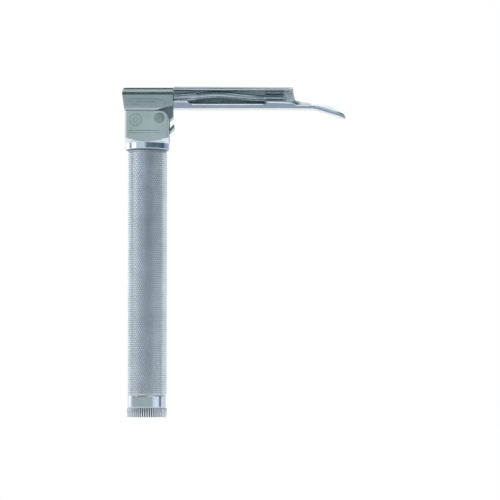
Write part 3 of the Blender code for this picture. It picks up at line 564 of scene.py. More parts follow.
# Painted shade: a darker copy of the blade steel for the web's inner face under the rolled flange.
WEB_SHADE_STEEL = metal("web_shade_steel_look", (0.52, 0.60, 0.60), (0.20, 0.27), (0.6, 7.0, 7.0), 0.0, 0.2)
TUBE_STEEL = metal("drawn_steel_look", (0.60, 0.67, 0.70), (0.12, 0.18), (0.5, 8.0, 8.0), 0.0, 0.2)
SPRING_STEEL = metal("spring_wire_look", (0.60, 0.62, 0.64), (0.22, 0.32), (5.0, 5.0, 5.0), 0.004, 0.0)
BRASS = metal("brass_look", (0.80, 0.60, 0.28), (0.20, 0.36), (2.0, 2.0, 12.0), 0.004, 0.4)
WHITE_PLASTIC = plastic("white_plastic_look", (0.80, 0.79, 0.74), 0.42)
BLACK_RUBBER = plastic("black_rubber_look", (0.018, 0.018, 0.020), 0.62, 0.02, 4.0, 0.2)
GLASS = glass("lamp_glass_look")
FIBRE_ENDS = fibres("glass_fibre_look")


# Handle


def knurled_barrel():
    """The barrel as one closed skin: raised diamonds outside, plain foot band, rounded top and bore."""
    columns = 2 * KNURL_AROUND
    low, high = BAND_TOP + 0.05, BARREL_TOP - 0.25
    rows = 2 * round((high - low) / KNURL_PITCH)
    root = BARREL_R - KNURL_DEPTH

    def at(radius, column, row):
        angle = 2.0 * math.pi * column / columns
        return radius * math.cos(angle), radius * math.sin(angle), low + (high - low) * row / rows

    points, faces, corner = [], [], {}
    for row in range(rows + 1):
        for column in range(row % 2, columns, 2):
            corner[column, row] = len(points)
            points.append(at(root, column, row))
    deep = len(points)
    for row in range(rows + 1):
        for column in range((row + 1) % 2, columns, 2):
            around = [(column - 1, row), (column, row - 1), (column + 1, row), (column, row + 1)]
            inside = [(c, r) for c, r in around if 0 <= r <= rows]
            ids = [corner[c % columns, r] for c, r in inside]
            if len(ids) < 4:
                faces.append(ids)
                continue
            first = len(points)
            for c, r in around:
                points.append(at(BARREL_R, column + (c - column) * KNURL_FLAT, row + (r - row) * KNURL_FLAT))
            faces.append([first + k for k in range(4)])
            for k in range(4):
                n = (k + 1) % 4
                faces.append([ids[k], ids[n], first + n, first + k])
    plain = [
        (FOOT_BAND_R - 0.12, BAND_TOP - 0.1), (FOOT_BAND_R, BAND_TOP - 0.28),
        (FOOT_BAND_R, BAND_TOP - 0.34), (FOOT_BAND_R, BARREL_FOOT + 0.36),
        (FOOT_BAND_R, BARREL_FOOT + 0.3), (FOOT_BAND_R - 0.09, BARREL_FOOT + 0.09),
        (FOOT_BAND_R - 0.3, BARREL_FOOT), (BARREL_BORE_R + 0.2, BARREL_FOOT),
        (BARREL_BORE_R, BARREL_FOOT + 0.2), (BARREL_BORE_R, BARREL_TOP - 0.2),
        (BARREL_BORE_R + 0.2, BARREL_TOP), (BARREL_R - 0.55, BARREL_TOP),
        (BARREL_R - 0.38, BARREL_TOP - 0.12),
    ]
    rings = [[corner[column, 0] for column in range(0, columns, 2)]]
    for radius, height in plain:
        rings.append(list(range(len(points), len(points) + KNURL_AROUND)))
        points += [(x, y, height) for x, y in arc((0.0, 0.0), radius, 0.0, 360.0, KNURL_AROUND)[:-1]]
    rings.append([corner[column, rows] for column in range(0, columns, 2)])
    for lower, upper in zip(rings, rings[1:]):
        for i in range(KNURL_AROUND):
            j = (i + 1) % KNURL_AROUND
            faces.append([lower[i], lower[j], upper[j], upper[i]])
    return (points, faces), deep


def build_barrel():
    solid, deep = knurled_barrel()
    barrel = shape("barrel", solid)
    # Painted shade: the knurl's root points are marked so that its valleys come out darker.
    groove = barrel.data.attributes.new("groove", "FLOAT", "POINT")
    groove.data.foreach_set("value", [float(i < deep) for i in range(len(solid[0]))])
    barrel.data.materials.append(KNURLED)
    paint(barrel, BAND_STEEL, lambda at, normal: at.z < BAND_TOP - 0.05)
    dress(barrel, KNURLED, "handle", "knurled_steel", "handle_tube", sharp_deg=24.0)


def head_outline():
    """The fork seen from the side, with the rounded corner over the pin."""
    corner = (HEAD_HALF - HEAD_FRONT_R, HEAD_TOP - HEAD_FRONT_R)
    outline = [(-HEAD_HALF, SPIGOT_FOOT), (HEAD_HALF, SPIGOT_FOOT)]
    outline += arc(corner, HEAD_FRONT_R, 0.0, 90.0, 24)
    return outline + [(-HEAD_HALF, HEAD_TOP)]


def rounded_square(half, radius):
    reach = half - radius
    outline = []
    for turn, (sx, sy) in enumerate(((1, 1), (-1, 1), (-1, -1), (1, -1))):
        outline += arc((sx * reach, sy * reach), radius, 90.0 * turn, 90.0 * turn + 90.0, 6)
    return outline


def stroke(points, width, low, high):
    """A bar of constant width along a flat line in X and Z, for engraving."""
    half = width / 2.0
    left, right = [], []
    line = [Vector(point) for point in points]
    for i, point in enumerate(line):
        along = (line[min(i + 1, len(line) - 1)] - line[max(i - 1, 0)]).normalized()
        across = Vector((-along.y, along.x)) * half
        left.append(tuple(point + across))
        right.append(tuple(point - across))
    return prism(left + right[::-1], low, high, "Y")


def ring_cut(centre, radius, width, low, high, steps=48):
    """An annular cutter round an axis along Y."""
    inner, outer = radius - width / 2.0, radius + width / 2.0
    profile = [(inner, low), (outer, low), (outer, high), (inner, high)]
    return turned(profile, steps, "Y", centre)


def build_head():
    outer = 16.0
    chamfer_rise = (outer - COLLAR_R) * NUT_CHAMFER_SLOPE
    collar = rounded(
        [
            (SPIGOT_R, COLLAR_FOOT), (COLLAR_LOW_R, COLLAR_FOOT), (COLLAR_R, COLLAR_EDGE),
            (COLLAR_R, COLLAR_TOP), (outer, COLLAR_TOP + chamfer_rise),
        ],
        0.22,
    )
    envelope = [(0.0, SPIGOT_FOOT), (SPIGOT_R - 0.3, SPIGOT_FOOT), (SPIGOT_R, SPIGOT_FOOT + 0.3)]
    envelope += collar + [(outer, HEAD_TOP + 2.0), (0.0, HEAD_TOP + 2.0)]
    head = shape("fork_head", prism(head_outline(), -HEAD_HALF, HEAD_HALF, "Y"))
    head.data.materials.append(SATIN)
    plan = prism(rounded_square(HEAD_HALF - 0.001, HEAD_CORNER_R), SPIGOT_FOOT - 2.0, HEAD_TOP + 2.0, "Z")
    carve(head, plan, "INTERSECT")
    carve(head, turned(envelope, 128), "INTERSECT")

    reach = HEAD_HALF + 3.0
    floor_end = -math.sqrt(SLOT_RELIEF_R**2 - (PIN_Z - SLOT_FLOOR) ** 2)
    start_deg = math.degrees(math.atan2(SLOT_FLOOR - PIN_Z, floor_end)) + 360.0
    front_deg = 360.0 - math.degrees(math.acos((HEAD_HALF + 1.0 - PIN_X) / SLOT_RELIEF_R))
    slot = [(-reach, HEAD_TOP + 2.0), (-reach, SLOT_FLOOR)]
    slot += arc((PIN_X, PIN_Z), SLOT_RELIEF_R, start_deg, front_deg, 24)
    slot += [(reach, slot[-1][1]), (reach, HEAD_TOP + 2.0)]
    carve(head, prism(slot, -SLOT_HALF, SLOT_HALF, "Y"))
    soften(head, 0.22, 40.0, 3, lambda at: at.z > COLLAR_TOP + 0.2)

    lamp_room = [
        (0.0, SPIGOT_FOOT - 2.0), (LAMP_BORE_R, SPIGOT_FOOT - 2.0), (LAMP_BORE_R, LAMP_BORE_TOP),
        (LAMP_NECK_R, LAMP_BORE_TOP), (LAMP_NECK_R, LAMP_NECK_TOP), (LAMP_RECESS_R, LAMP_NECK_TOP),
        (LAMP_RECESS_R, SLOT_FLOOR - 0.2), (LAMP_RECESS_R + 2.2, SLOT_FLOOR + 2.0),
        (0.0, SLOT_FLOOR + 2.0),
    ]
    carve(head, turned(lamp_room, 64))

    face = HEAD_HALF + 1.0
    head_depth = HEAD_HALF - PIN_HEAD - FIT
    rim = PIN_HEAD_R + FIT
    pin_hole = [(0.0, face), (rim + 1.05, face), (rim, HEAD_HALF - 0.05), (rim, head_depth)]
    pin_hole.append((PIN_HOLE_R, head_depth))
    carve(head, turned(mirrored(pin_hole), 64, "Y", (PIN_X, PIN_Z)))

    path_r = math.hypot(BALL_X - PIN_X, BALL_Z - PIN_Z)
    rest_deg = math.degrees(math.atan2(BALL_Z - PIN_Z, BALL_X - PIN_X)) % 360.0
    ahead, behind = rest_deg + GROOVE_AHEAD_DEG, rest_deg - GROOVE_BEHIND_DEG
    groove = arc((PIN_X, PIN_Z), path_r + GROOVE_HALF, ahead, behind, 24)
    groove += arc((PIN_X, PIN_Z), path_r - GROOVE_HALF, behind, ahead, 24)
    dimple_steps = ((0.0, 5.0), (GROOVE_HALF - 0.05, 5.0), (GROOVE_HALF - 0.05, 6.2), (0.8, DIMPLE_FLOOR))
    for side, _ in SIDES:
        low, high = sorted((side * (SLOT_HALF - 0.5), side * GROOVE_FLOOR))
        carve(head, prism(groove, low, high, "Y"))
        dimple = [(radius, side * height) for radius, height in dimple_steps]
        dimple.append((0.0, side * DIMPLE_FLOOR))
        carve(head, turned(dimple, 32, "Y", (BALL_X, BALL_Z)))

    low, high = -HEAD_HALF - 1.0, -HEAD_HALF + 0.14
    lamp_mark = (-5.3, 143.6)
    marks = [ring_cut(lamp_mark, 2.9, 0.26, low, high), ring_cut(lamp_mark, 1.0, 0.24, low, high, 32)]
    for i in range(8):
        turn = math.radians(45.0 * i + 22.5)
        ray = [(lamp_mark[0] + r * math.cos(turn), lamp_mark[1] + r * math.sin(turn)) for r in (1.45, 2.4)]
        marks.append(stroke(ray, 0.22, low, high))
    for level, width, *ends in ((138.35, 0.32, -8.9, -6.4, -5.7, 6.3), (137.15, 0.22, -8.9, 2.3, 3.0, 6.3)):
        for start, end in (ends[:2], ends[2:]):
            marks.append(stroke([(start, level), (end, level)], width, low, high))
    carve(head, joined(*marks), material=ENGRAVED)

    def on_collar(at, normal):
        reach = math.hypot(at.x, at.y)
        return at.z < COLLAR_TOP + (reach - COLLAR_R) * NUT_CHAMFER_SLOPE + 0.06 and normal.z < 0.5

    # Painted shade under the collar: its downward-facing underside takes the dark steel.
    def on_cone(at, normal):
        return at.z < COLLAR_EDGE + 0.02 and normal.z < -0.1

    paint(head, POLISHED, on_collar)
    paint(head, CONE_SHADE_STEEL, on_cone)
    dress(head, SATIN, "handle", "satin_steel", "handle_head")


def build_pin():
    end = HEAD_HALF - 0.05
    shoulder = HEAD_HALF - PIN_HEAD
    half = [
        (0.0, end - 0.10), (0.4, end - 0.10), (0.5, end - 0.02), (PIN_HEAD_R - 0.15, end),
        (PIN_HEAD_R - 0.03, end - 0.05), (PIN_HEAD_R, end - 0.15), (PIN_HEAD_R, shoulder),
        (PIN_R, shoulder),
    ]
    pin = shape("hinge_rivet", turned(mirrored(half), 64, "Y", (PIN_X, PIN_Z)))
    dress(pin, PIN_STEEL, "handle", "pin_steel", "hinge_pin")


def build_batteries():
    for name, bottom in CELL_BOTTOMS.items():
        top = bottom + CELL_BODY
        profile = [(0.0, bottom + 0.15), (CELL_R - 1.6, bottom + 0.15), (CELL_R - 1.3, bottom)]
        profile += rounded([(CELL_R - 0.7, bottom), (CELL_R, bottom + 0.2), (CELL_R, top - 0.2)], 0.2)[1:-1]
        profile += [(CELL_R, top - 1.2), (CELL_R - 0.12, top - 0.9), (CELL_R, top - 0.6)]
        profile += [(CELL_R - 0.3, top), (CELL_R - 0.9, top), (CELL_R - 1.0, top - 0.25)]
        profile += [(CELL_NUB_R + 0.5, top - 0.25), (CELL_NUB_R, top - 0.1)]
        profile += [(CELL_NUB_R - 0.05, top + CELL_NUB - 0.3), (CELL_NUB_R - 0.3, top + CELL_NUB)]
        profile += [(0.0, top + CELL_NUB)]
        cell = shape(name.replace("battery", "cell"), turned(profile, 64))
        dress(cell, sleeve_print(name + "_look", bottom), "handle", "battery_can", name)


# Lamp


def build_lamp_seat():
    step = LAMP_BASE_TOP + 1.4
    bush = rounded(
        [
            (LAMP_BASE_R + 0.3, BUSH_FLANGE_FOOT), (LAMP_BORE_R - 0.15, BUSH_FLANGE_FOOT),
            (LAMP_BORE_R - 0.15, LAMP_BORE_TOP - FIT), (LAMP_NECK_R - 0.15, LAMP_BORE_TOP - FIT),
            (LAMP_NECK_R - 0.15, LAMP_NECK_TOP - FIT), (BULB_R + 0.35, LAMP_NECK_TOP - FIT),
            (BULB_R + 0.35, step), (LAMP_BASE_R + 0.3, step),
        ],
        0.15,
    )
    dress(shape("insulating_bush", turned(bush, 64)), WHITE_PLASTIC, "handle", "white_plastic", "lamp_bush")
    edge = LAMP_BORE_R - 0.15
    bore = 3.0
    profile = [(bore, RING_FOOT), (edge - 0.2, RING_FOOT), (edge, RING_FOOT + 0.2)]
    profile += [(edge, RING_TOP - 0.2), (edge - 0.2, RING_TOP), (bore, RING_TOP)]
    ring = shape("threaded_ring", turned(profile, 64))
    key_slot = [(-6.0, -0.5), (6.0, -0.5), (6.0, 0.5), (-6.0, 0.5)]
    carve(ring, prism(key_slot, RING_FOOT - 1.0, RING_FOOT + 0.5, "Z"))
    dress(ring, BRASS, "handle", "brass", "retaining_ring")
    foot, top = RING_TOP + LAMP_WIRE + SPRING_GAP, CARRIER_FOOT - LAMP_WIRE - SPRING_GAP
    coil = helix("Z", (0.0, 0.0), (LAMP_SPRING_R, LAMP_SPRING_R), (foot, top), 3)
    spring = shape("lamp_coil", sweep(coil, LAMP_WIRE, 14))
    dress(spring, SPRING_STEEL, None, "spring_steel", "lamp_spring")
    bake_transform(spring)


def build_lamp():
    ledge = LAMP_BASE_FOOT + 1.2
    carrier = rounded(
        [
            (LAMP_FLANGE_R + 0.2, CARRIER_FOOT), (CARRIER_R, CARRIER_FOOT),
            (CARRIER_R, CARRIER_TOP - 0.3), (CARRIER_R - 0.3, CARRIER_TOP),
            (LAMP_BASE_R + 0.2, CARRIER_TOP), (LAMP_BASE_R + 0.2, ledge), (LAMP_FLANGE_R + 0.2, ledge),
        ],
        0.15,
    )
    dress(shape("carrier_sleeve", turned(carrier, 64)), BRASS, "lamp", "brass", "lamp_carrier")
    base = [(0.0, LAMP_BASE_FOOT)]
    base += rounded(
        [
            (LAMP_FLANGE_R - 0.8, LAMP_BASE_FOOT), (LAMP_FLANGE_R, LAMP_BASE_FOOT),
            (LAMP_FLANGE_R, LAMP_BASE_FOOT + 1.0), (LAMP_BASE_R, LAMP_BASE_FOOT + 1.0),
            (LAMP_BASE_R, LAMP_BASE_TOP), (BULB_R + 0.1, LAMP_BASE_TOP),
        ],
        0.18,
    )
    base += [(BULB_R + 0.05, LAMP_BASE_TOP - 0.2), (0.0, LAMP_BASE_TOP - 0.2)]
    dress(shape("lamp_cap", turned(base, 64)), POLISHED, "lamp", "polished_steel", "lamp_base")
    inner_r = BULB_R - BULB_WALL
    skin = [(0.0, BULB_FOOT), (BULB_R, BULB_FOOT), (BULB_R, BULB_FOOT + 0.6)]
    skin += arc((0.0, BULB_TOP - BULB_R), BULB_R, 0.0, 90.0, 16)[:-1] + [(0.0, BULB_TOP)]
    hollow = [(0.0, BULB_FOOT + 0.3), (inner_r, BULB_FOOT + 0.3)]
    hollow += arc((0.0, BULB_TOP - BULB_R), inner_r, 90.0, 0.0, 16)[:0:-1] + [(0.0, BULB_TOP - BULB_WALL)]
    envelope = shape("lamp_envelope", joined(turned(skin, 48), turned(hollow, 48)))
    dress(envelope, GLASS, "lamp", "clear_glass", "bulb_glass")
    post_top = BULB_FOOT + 1.6
    posts = []
    for x in (-POST_OUT, POST_OUT):
        posts.append(sweep([(x, 0.0, BULB_FOOT + 0.35), (x, 0.0, post_top)], POST_R, 10))
    coil = helix("X", (0.0, post_top), (FILAMENT_R, FILAMENT_R), (-POST_OUT, POST_OUT), 7, 16)
    filament = shape("filament", joined(*posts, sweep(coil, FILAMENT_WIRE_R, 6)))
    filament.data.materials.append(SPRING_STEEL)
    filament.data.shade_smooth()
    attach(filament, "lamp")
    plug = rounded(
        [
            (CONTACT_R + 0.1, CARRIER_FOOT + 0.2), (LAMP_FLANGE_R, CARRIER_FOOT + 0.2),
            (LAMP_FLANGE_R, LAMP_BASE_FOOT - FIT), (CONTACT_R + 0.1, LAMP_BASE_FOOT - FIT),
        ],
        0.25,
    )
    bush = shape("contact_bush", turned(plug, 64))
    dress(bush, WHITE_PLASTIC, "lamp", "white_plastic", "contact_insulator")
    contact = [(0.0, CONTACT_FOOT)]
    contact += rounded(
        [
            (CONTACT_HEAD_R - 1.0, CONTACT_FOOT), (CONTACT_HEAD_R, CONTACT_FOOT),
            (CONTACT_HEAD_R, CONTACT_FOOT + 1.4), (CONTACT_R, CONTACT_FOOT + 1.4),
            (CONTACT_R, CONTACT_TOP), (CONTACT_R - 0.4, CONTACT_TOP),
        ],
        0.3,
    )
    contact.append((0.0, CONTACT_TOP))
    dress(shape("contact_stud", turned(contact, 48)), BRASS, "lamp", "brass", "centre_contact")


# End cap


def fluted_circle(radius, depth, flutes):
    """A circle with flat-topped crests and rounded flutes."""
    outline = []
    flute = ((0.0, 1.0), (0.12, 0.75), (0.26, 0.12), (0.34, 0.0), (0.66, 0.0), (0.74, 0.12), (0.88, 0.75))
    for i in range(flutes):
        for share, drop in flute:
            angle = 2.0 * math.pi * (i + share) / flutes
            reach = radius - drop * depth
            outline.append((reach * math.cos(angle), reach * math.sin(angle)))
    return outline


def build_cap():
    edge = [(0.0, 0.24, 0.3), (0.05, 0.12, 0.6), (0.14, 0.03, 0.9), (0.25, 0.0, 1.0)]
    rings = []
    for height, inset, share in edge + [(CAP_TOP - rise, *rest) for rise, *rest in reversed(edge)]:
        outline = fluted_circle(CAP_R - inset, CAP_FLUTE_DEPTH * share, CAP_FLUTES)
        rings.append([(x, y, height) for x, y in outline])
    cap = shape("fluted_cap", loft(rings))
    groove_r = CAP_SPIGOT_R - CAP_GROOVE_DEPTH
    spigot = [
        (0.0, CAP_TOP - 1.0), (CAP_SPIGOT_R, CAP_TOP - 1.0), (CAP_SPIGOT_R, CAP_GROOVE_FOOT),
        (groove_r, CAP_GROOVE_FOOT), (groove_r, CAP_GROOVE_TOP), (CAP_SPIGOT_R, CAP_GROOVE_TOP),
        (CAP_SPIGOT_R, CAP_SPIGOT_TOP - 0.5), (CAP_SPIGOT_R - 0.5, CAP_SPIGOT_TOP),
        (0.0, CAP_SPIGOT_TOP),
    ]
    carve(cap, turned(spigot, 96), "UNION")
    bore = [(0.0, CAP_FLOOR), (CAP_BORE_R, CAP_FLOOR), (CAP_BORE_R, CAP_SPIGOT_TOP - 0.3)]
    bore += [(CAP_BORE_R + 0.4, CAP_SPIGOT_TOP + 0.1), (0.0, CAP_SPIGOT_TOP + 0.1)]
    carve(cap, turned(bore, 96))
    for radius in (3.2, 6.6):
        ring = [(radius - 0.2, -1.0), (radius + 0.2, -1.0), (radius + 0.2, 0.12), (radius - 0.2, 0.12)]
        carve(cap, turned(ring, 96))
    # Painted shade: the flutes are marked darker towards their bottoms.
    depths = []
    for vertex in cap.data.vertices:
        drop = CAP_R - math.hypot(vertex.co.x, vertex.co.y) / MM
        on_side = drop < CAP_FLUTE_DEPTH + 0.05 and vertex.co.z < (CAP_TOP - 0.01) * MM
        depths.append(drop / CAP_FLUTE_DEPTH if on_side else 0.0)
    groove = cap.data.attributes.new("groove", "FLOAT", "POINT")
    groove.data.foreach_set("value", depths)
    dress(cap, FLUTED, "cap", "polished_steel", "end_cap", sharp_deg=28.0)
    thread_foot = CAP_GROOVE_TOP + 0.35
    thread_top = thread_foot + THREAD_TURNS * THREAD_PITCH
    ridge = []
    path = helix("Z", (0.0, 0.0), (1.0, 1.0), (thread_foot, thread_top), THREAD_TURNS, 64)
    for i, (x, y, z) in enumerate(path):
        fade = min(1.0, i / 16.0, (len(path) - 1 - i) / 16.0)
        root, crest = CAP_SPIGOT_R - 0.12, CAP_SPIGOT_R + 0.02 + THREAD_DEPTH * fade
        section = ((root, -THREAD_FLANK), (crest, -THREAD_FLAT), (crest, THREAD_FLAT), (root, THREAD_FLANK))
        ridge.append([(x * r, y * r, z + rise) for r, rise in section])
    thread = shape("cap_thread", loft(ridge))
    thread.data.materials.append(POLISHED)
    thread.data.shade_smooth()
    thread.data.set_sharp_from_angle(angle=math.radians(30.0))
    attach(thread, "cap")
    mid = (groove_r + SEAL_R + FIT, (CAP_GROOVE_FOOT + CAP_GROOVE_TOP) / 2.0)
    seal = shape("cap_seal", turned(arc(mid, SEAL_R, 0.0, 360.0, 20)[:-1], 96))
    dress(seal, BLACK_RUBBER, "cap", "black_rubber", "cap_oring")


def build_cap_contact():
    top = CAP_FLOOR + 0.9
    foot, edge = CAP_FLOOR + FIT, CAP_BORE_R - 0.2
    plate = [(0.0, foot), (edge - 0.15, foot), (edge, foot + 0.15)]
    plate += [(edge, top - 0.15), (edge - 0.15, top), (1.3, top)]
    plate += rounded([(1.3, top), (1.0, top + 0.6), (0.4, top + 0.7)], 0.25)[1:]
    plate.append((0.0, top + 0.7))
    dress(shape("spring_plate", turned(plate, 64)), BRASS, "cap_core", "brass", "cap_contact_plate")
    margin = CAP_WIRE + SPRING_GAP
    span = (top + margin, CELL_BOTTOMS["battery_lower"] - margin)
    coil = helix("Z", (0.0, 0.0), (CAP_SPRING_FOOT_R, CAP_SPRING_TOP_R), span, 5)
    spring = shape("cell_spring", sweep(coil, CAP_WIRE, 14))
    dress(spring, SPRING_STEEL, "cap_core", "spring_steel", "cap_spring")


# Blade block


def from_pin(point):
    return PIN_X + point[0], PIN_Z + point[1]


def heel_outline():
    """The heel seen from the side: plate with the hook that seats on the pin, and the nose over it."""
    entry = math.radians(HOOK_ENTRY_DEG)
    seat_start = HOOK_ENTRY_DEG - 90.0
    nose_front = BLOCK_FRONT - PIN_X
    rise = (nose_front - NOSE_TIP[0]) * math.tan(math.radians(HOOK_MOUTH_DEG))
    bottom = HEEL_BOTTOM - PIN_Z
    outer_deg = math.degrees(math.asin(bottom / HOOK_OUTER_R))
    reach = (CLAW_ROOT[0] + HOOK_SEAT_R * math.sin(-entry)) / math.cos(entry)
    lower_edge = (
        reach * math.cos(entry) + HOOK_SEAT_R * math.sin(entry),
        reach * math.sin(entry) - HOOK_SEAT_R * math.cos(entry),
    )
    outline = [(HEEL_REAR - PIN_X, bottom + 1.2), (HEEL_REAR - PIN_X + 1.2, bottom)]
    outline += arc((0.0, 0.0), HOOK_OUTER_R, outer_deg, -29.0, 12)
    outline += [(CLAW_TIP[0] + 0.15, CLAW_TIP[1] - 0.25), CLAW_TIP, lower_edge]
    outline += arc((0.0, 0.0), HOOK_SEAT_R, seat_start, seat_start - 180.0, 32)
    outline += [NOSE_TIP, (nose_front, NOSE_TIP[1] + rise)]
    top = BLOCK_BOTTOM - PIN_Z + 4.0
    outline += [(nose_front, top), (HEEL_REAR - PIN_X, top)]
    return [from_pin(point) for point in outline]


def block_side():
    """The block seen from the side: bulged back, underside rising towards the front."""
    bulge = [BLOCK_REAR_TOP]
    (top_x, top_z), (mid_x, mid_z), (low_x, low_z) = BLOCK_REAR_TOP, BLOCK_REAR_MID, BLOCK_REAR_BOTTOM
    for i in range(1, 16):
        turn = math.radians(90.0 * i / 16.0)
        bulge.append((top_x + (mid_x - top_x) * math.sin(turn), mid_z + (top_z - mid_z) * math.cos(turn)))
    bulge += [(mid_x, mid_z), (low_x, low_z)]
    slope_start = (BLOCK_SLOPE_START, BLOCK_BOTTOM)
    return bulge + [slope_start, (BLOCK_FRONT, BLOCK_SLOPE_END), (BLOCK_FRONT, BLOCK_TOP)]


def block_section():
    """The block seen along the blade: filleted shoulders above, chamfers below."""
    crease = math.radians(BLOCK_EDGE_DEG)
    radius = BLOCK_FILLET / (1.0 - math.sin(crease))
    reach = BLOCK_HALF - radius * math.cos(crease)
    centre_z = BLOCK_TOP - radius
    foot = BLOCK_HALF - BLOCK_CHAMFER_IN
    outline = [(-foot, BLOCK_BOTTOM), (foot, BLOCK_BOTTOM), (BLOCK_HALF, BLOCK_BOTTOM + BLOCK_CHAMFER)]
    outline += arc((reach, centre_z), radius, BLOCK_EDGE_DEG, 90.0, 20)
    outline += arc((-reach, centre_z), radius, 90.0, 180.0 - BLOCK_EDGE_DEG, 20)
    return outline + [(-BLOCK_HALF, BLOCK_BOTTOM + BLOCK_CHAMFER)]


def fibre_route(foot, front):
    """Up the heel from its foot, round a bend and forward to the block's front face."""
    bend_foot = GUIDE_Z - FIBRE_BEND_R
    path = [(0.0, 0.0, foot), (0.0, 0.0, bend_foot - 4.0)]
    for i in range(17):
        part = i / 16.0
        turn = math.radians(180.0 - 90.0 * part)
        x = FIBRE_BEND_R * (1.0 + math.cos(turn))
        path.append((x, GUIDE_Y * part**2 * (3.0 - 2.0 * part), bend_foot + FIBRE_BEND_R * math.sin(turn)))
    return path + [(front, GUIDE_Y, GUIDE_Z)]


def build_block():
    bar = prism(block_section(), -BLOCK_PAST, BLOCK_FRONT + BLOCK_PAST, "X")
    block = shape("block_and_heel", bar)
    block.data.materials.append(BLOCK_STEEL)
    carve(block, prism(block_side(), -BLOCK_HALF - 2.0, BLOCK_HALF + 2.0, "Y"), "INTERSECT")
    carve(block, prism(heel_outline(), -HEEL_HALF, HEEL_HALF, "Y"), "UNION")
    soften(block, 0.18, 32.0, 2)
    carve(block, sweep(fibre_route(HEEL_BOTTOM - 3.0, BLOCK_FRONT + 3.0), FIBRE_BORE_R, 24))
    socket = [(0.0, HEEL_BOTTOM - 2.0), (INPUT_R + FIT, HEEL_BOTTOM - 2.0), (INPUT_R + FIT, INPUT_TOP + FIT)]
    carve(block, turned(socket + [(0.0, INPUT_TOP + FIT)], 48))
    ring_floor = HEEL_HALF - BALL_RING - FIT
    wide = BALL_RING_R + FIT
    face = HEEL_HALF + 2.0
    ball_hole = [(0.0, face), (wide, face), (wide, ring_floor), (BALL_HOLE_R, ring_floor)]
    carve(block, turned(mirrored(ball_hole), 64, "Y", (BALL_X, BALL_Z)))

    low, high = -BLOCK_HALF - 1.0, -BLOCK_HALF + 0.13
    marks = [stroke([(-8.9, 153.9), (4.6, 153.9), (6.3, 153.6), (7.9, 153.0)], 0.36, low, high)]
    for start, end in ((-8.9, -6.3), (-5.6, -1.9), (-1.2, 4.2)):
        marks.append(stroke([(start, 152.6), (end, 152.6)], 0.36, low, high))
    marks.append(stroke([(-7.9, 151.4), (-4.0, 151.4)], 0.30, low, high))
    marks.append(ring_cut((8.9, 151.9), 0.55, 0.26, low, high, 24))
    carve(block, joined(*marks), material=ENGRAVED)
    # Heel and hook: polished, with painted shade darkening them in the slot between the cheeks.
    paint(block, HEEL_SHADE_STEEL, lambda at, normal: abs(at.y) < HEEL_HALF + 0.05 and at.z < BLOCK_SLOPE_END)
    shoulder = BLOCK_TOP - BLOCK_FILLET
    # Polished top shoulders, painted darker than the block: a painted dark reflection band.
    paint(block, SHOULDER_SHADE_STEEL, lambda at, normal: at.z > shoulder + 0.02 and abs(normal.x) < 0.3)
    # Painted highlight on the block's lower chamfers, picked by their downward-facing normals.
    paint(block, CHAMFER_HIGHLIGHT_STEEL, lambda at, normal: -0.6 < normal.z < -0.2 and abs(at.y) > HEEL_HALF + 0.1)
    dress(block, BLOCK_STEEL, "blade", "satin_steel", "blade_block")


def build_detents():
    for side, name in SIDES:
        circle = arc((0.0, side * BALL_Y), BALL_R, -90.0, 90.0, 24)[1:-1]
        ball = [(0.0, side * BALL_Y - BALL_R)] + circle + [(0.0, side * BALL_Y + BALL_R)]
        made = shape(f"spring_ball_{name}", turned(ball, 48, "Y", (BALL_X, BALL_Z)))
        dress(made, POLISHED, f"ball_{name}", "polished_steel", f"detent_ball_{name}")
        inner_end, outer_end = side * (HEEL_HALF - BALL_RING), side * (HEEL_HALF - 0.02)
        lip = outer_end - side * 0.12
        ring = [(BALL_RING_BORE_R, inner_end), (BALL_RING_R, inner_end), (BALL_RING_R, lip)]
        ring += [(BALL_RING_R - 0.12, outer_end), (BALL_RING_MOUTH_R, outer_end), (BALL_RING_LIP_R, lip)]
        made = shape(f"ball_seat_{name}", turned(ring, 64, "Y", (BALL_X, BALL_Z)))
        dress(made, TUBE_STEEL, "blade", "dark_steel", f"ball_retainer_{name}")
    end = BALL_Y - BALL_R - BALL_WIRE - SPRING_GAP
    for side, name in SIDES:
        coil = helix("Y", (BALL_X, BALL_Z), (BALL_SPRING_R, BALL_SPRING_R), (0.0, side * end), 2)
        spring = shape(f"ball_coil_{name}", sweep(coil, BALL_WIRE, 12))
        dress(spring, SPRING_STEEL, None, "spring_steel", "detent_spring")
        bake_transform(spring)


# Light guide


def blend(points, x):
    """Height at x on a smooth curve through (x, height) points, level at both ends."""
    if x <= points[0][0]:
        return points[0][1]
    for (x0, z0), (x1, z1) in zip(points, points[1:]):
        if x <= x1:
            part = (x - x0) / (x1 - x0)
            return z0 + (z1 - z0) * part * part * (3.0 - 2.0 * part)
    return points[-1][1]


def guide_route(start, end, steps):
    """The light tube's centre line: a low arch along the blade that settles against the web."""
    rise = ((BLOCK_FRONT, GUIDE_Z), (GUIDE_CREST_X, GUIDE_CREST), (FERRULE_START, GUIDE_END_Z))
    drift = ((GUIDE_CREST_X, GUIDE_Y), (FERRULE_START, GUIDE_END_Y))
    path = []
    for i in range(steps + 1):
        x = start + (end - start) * i / steps
        path.append((x, blend(drift, x), blend(rise, x)))
    return path


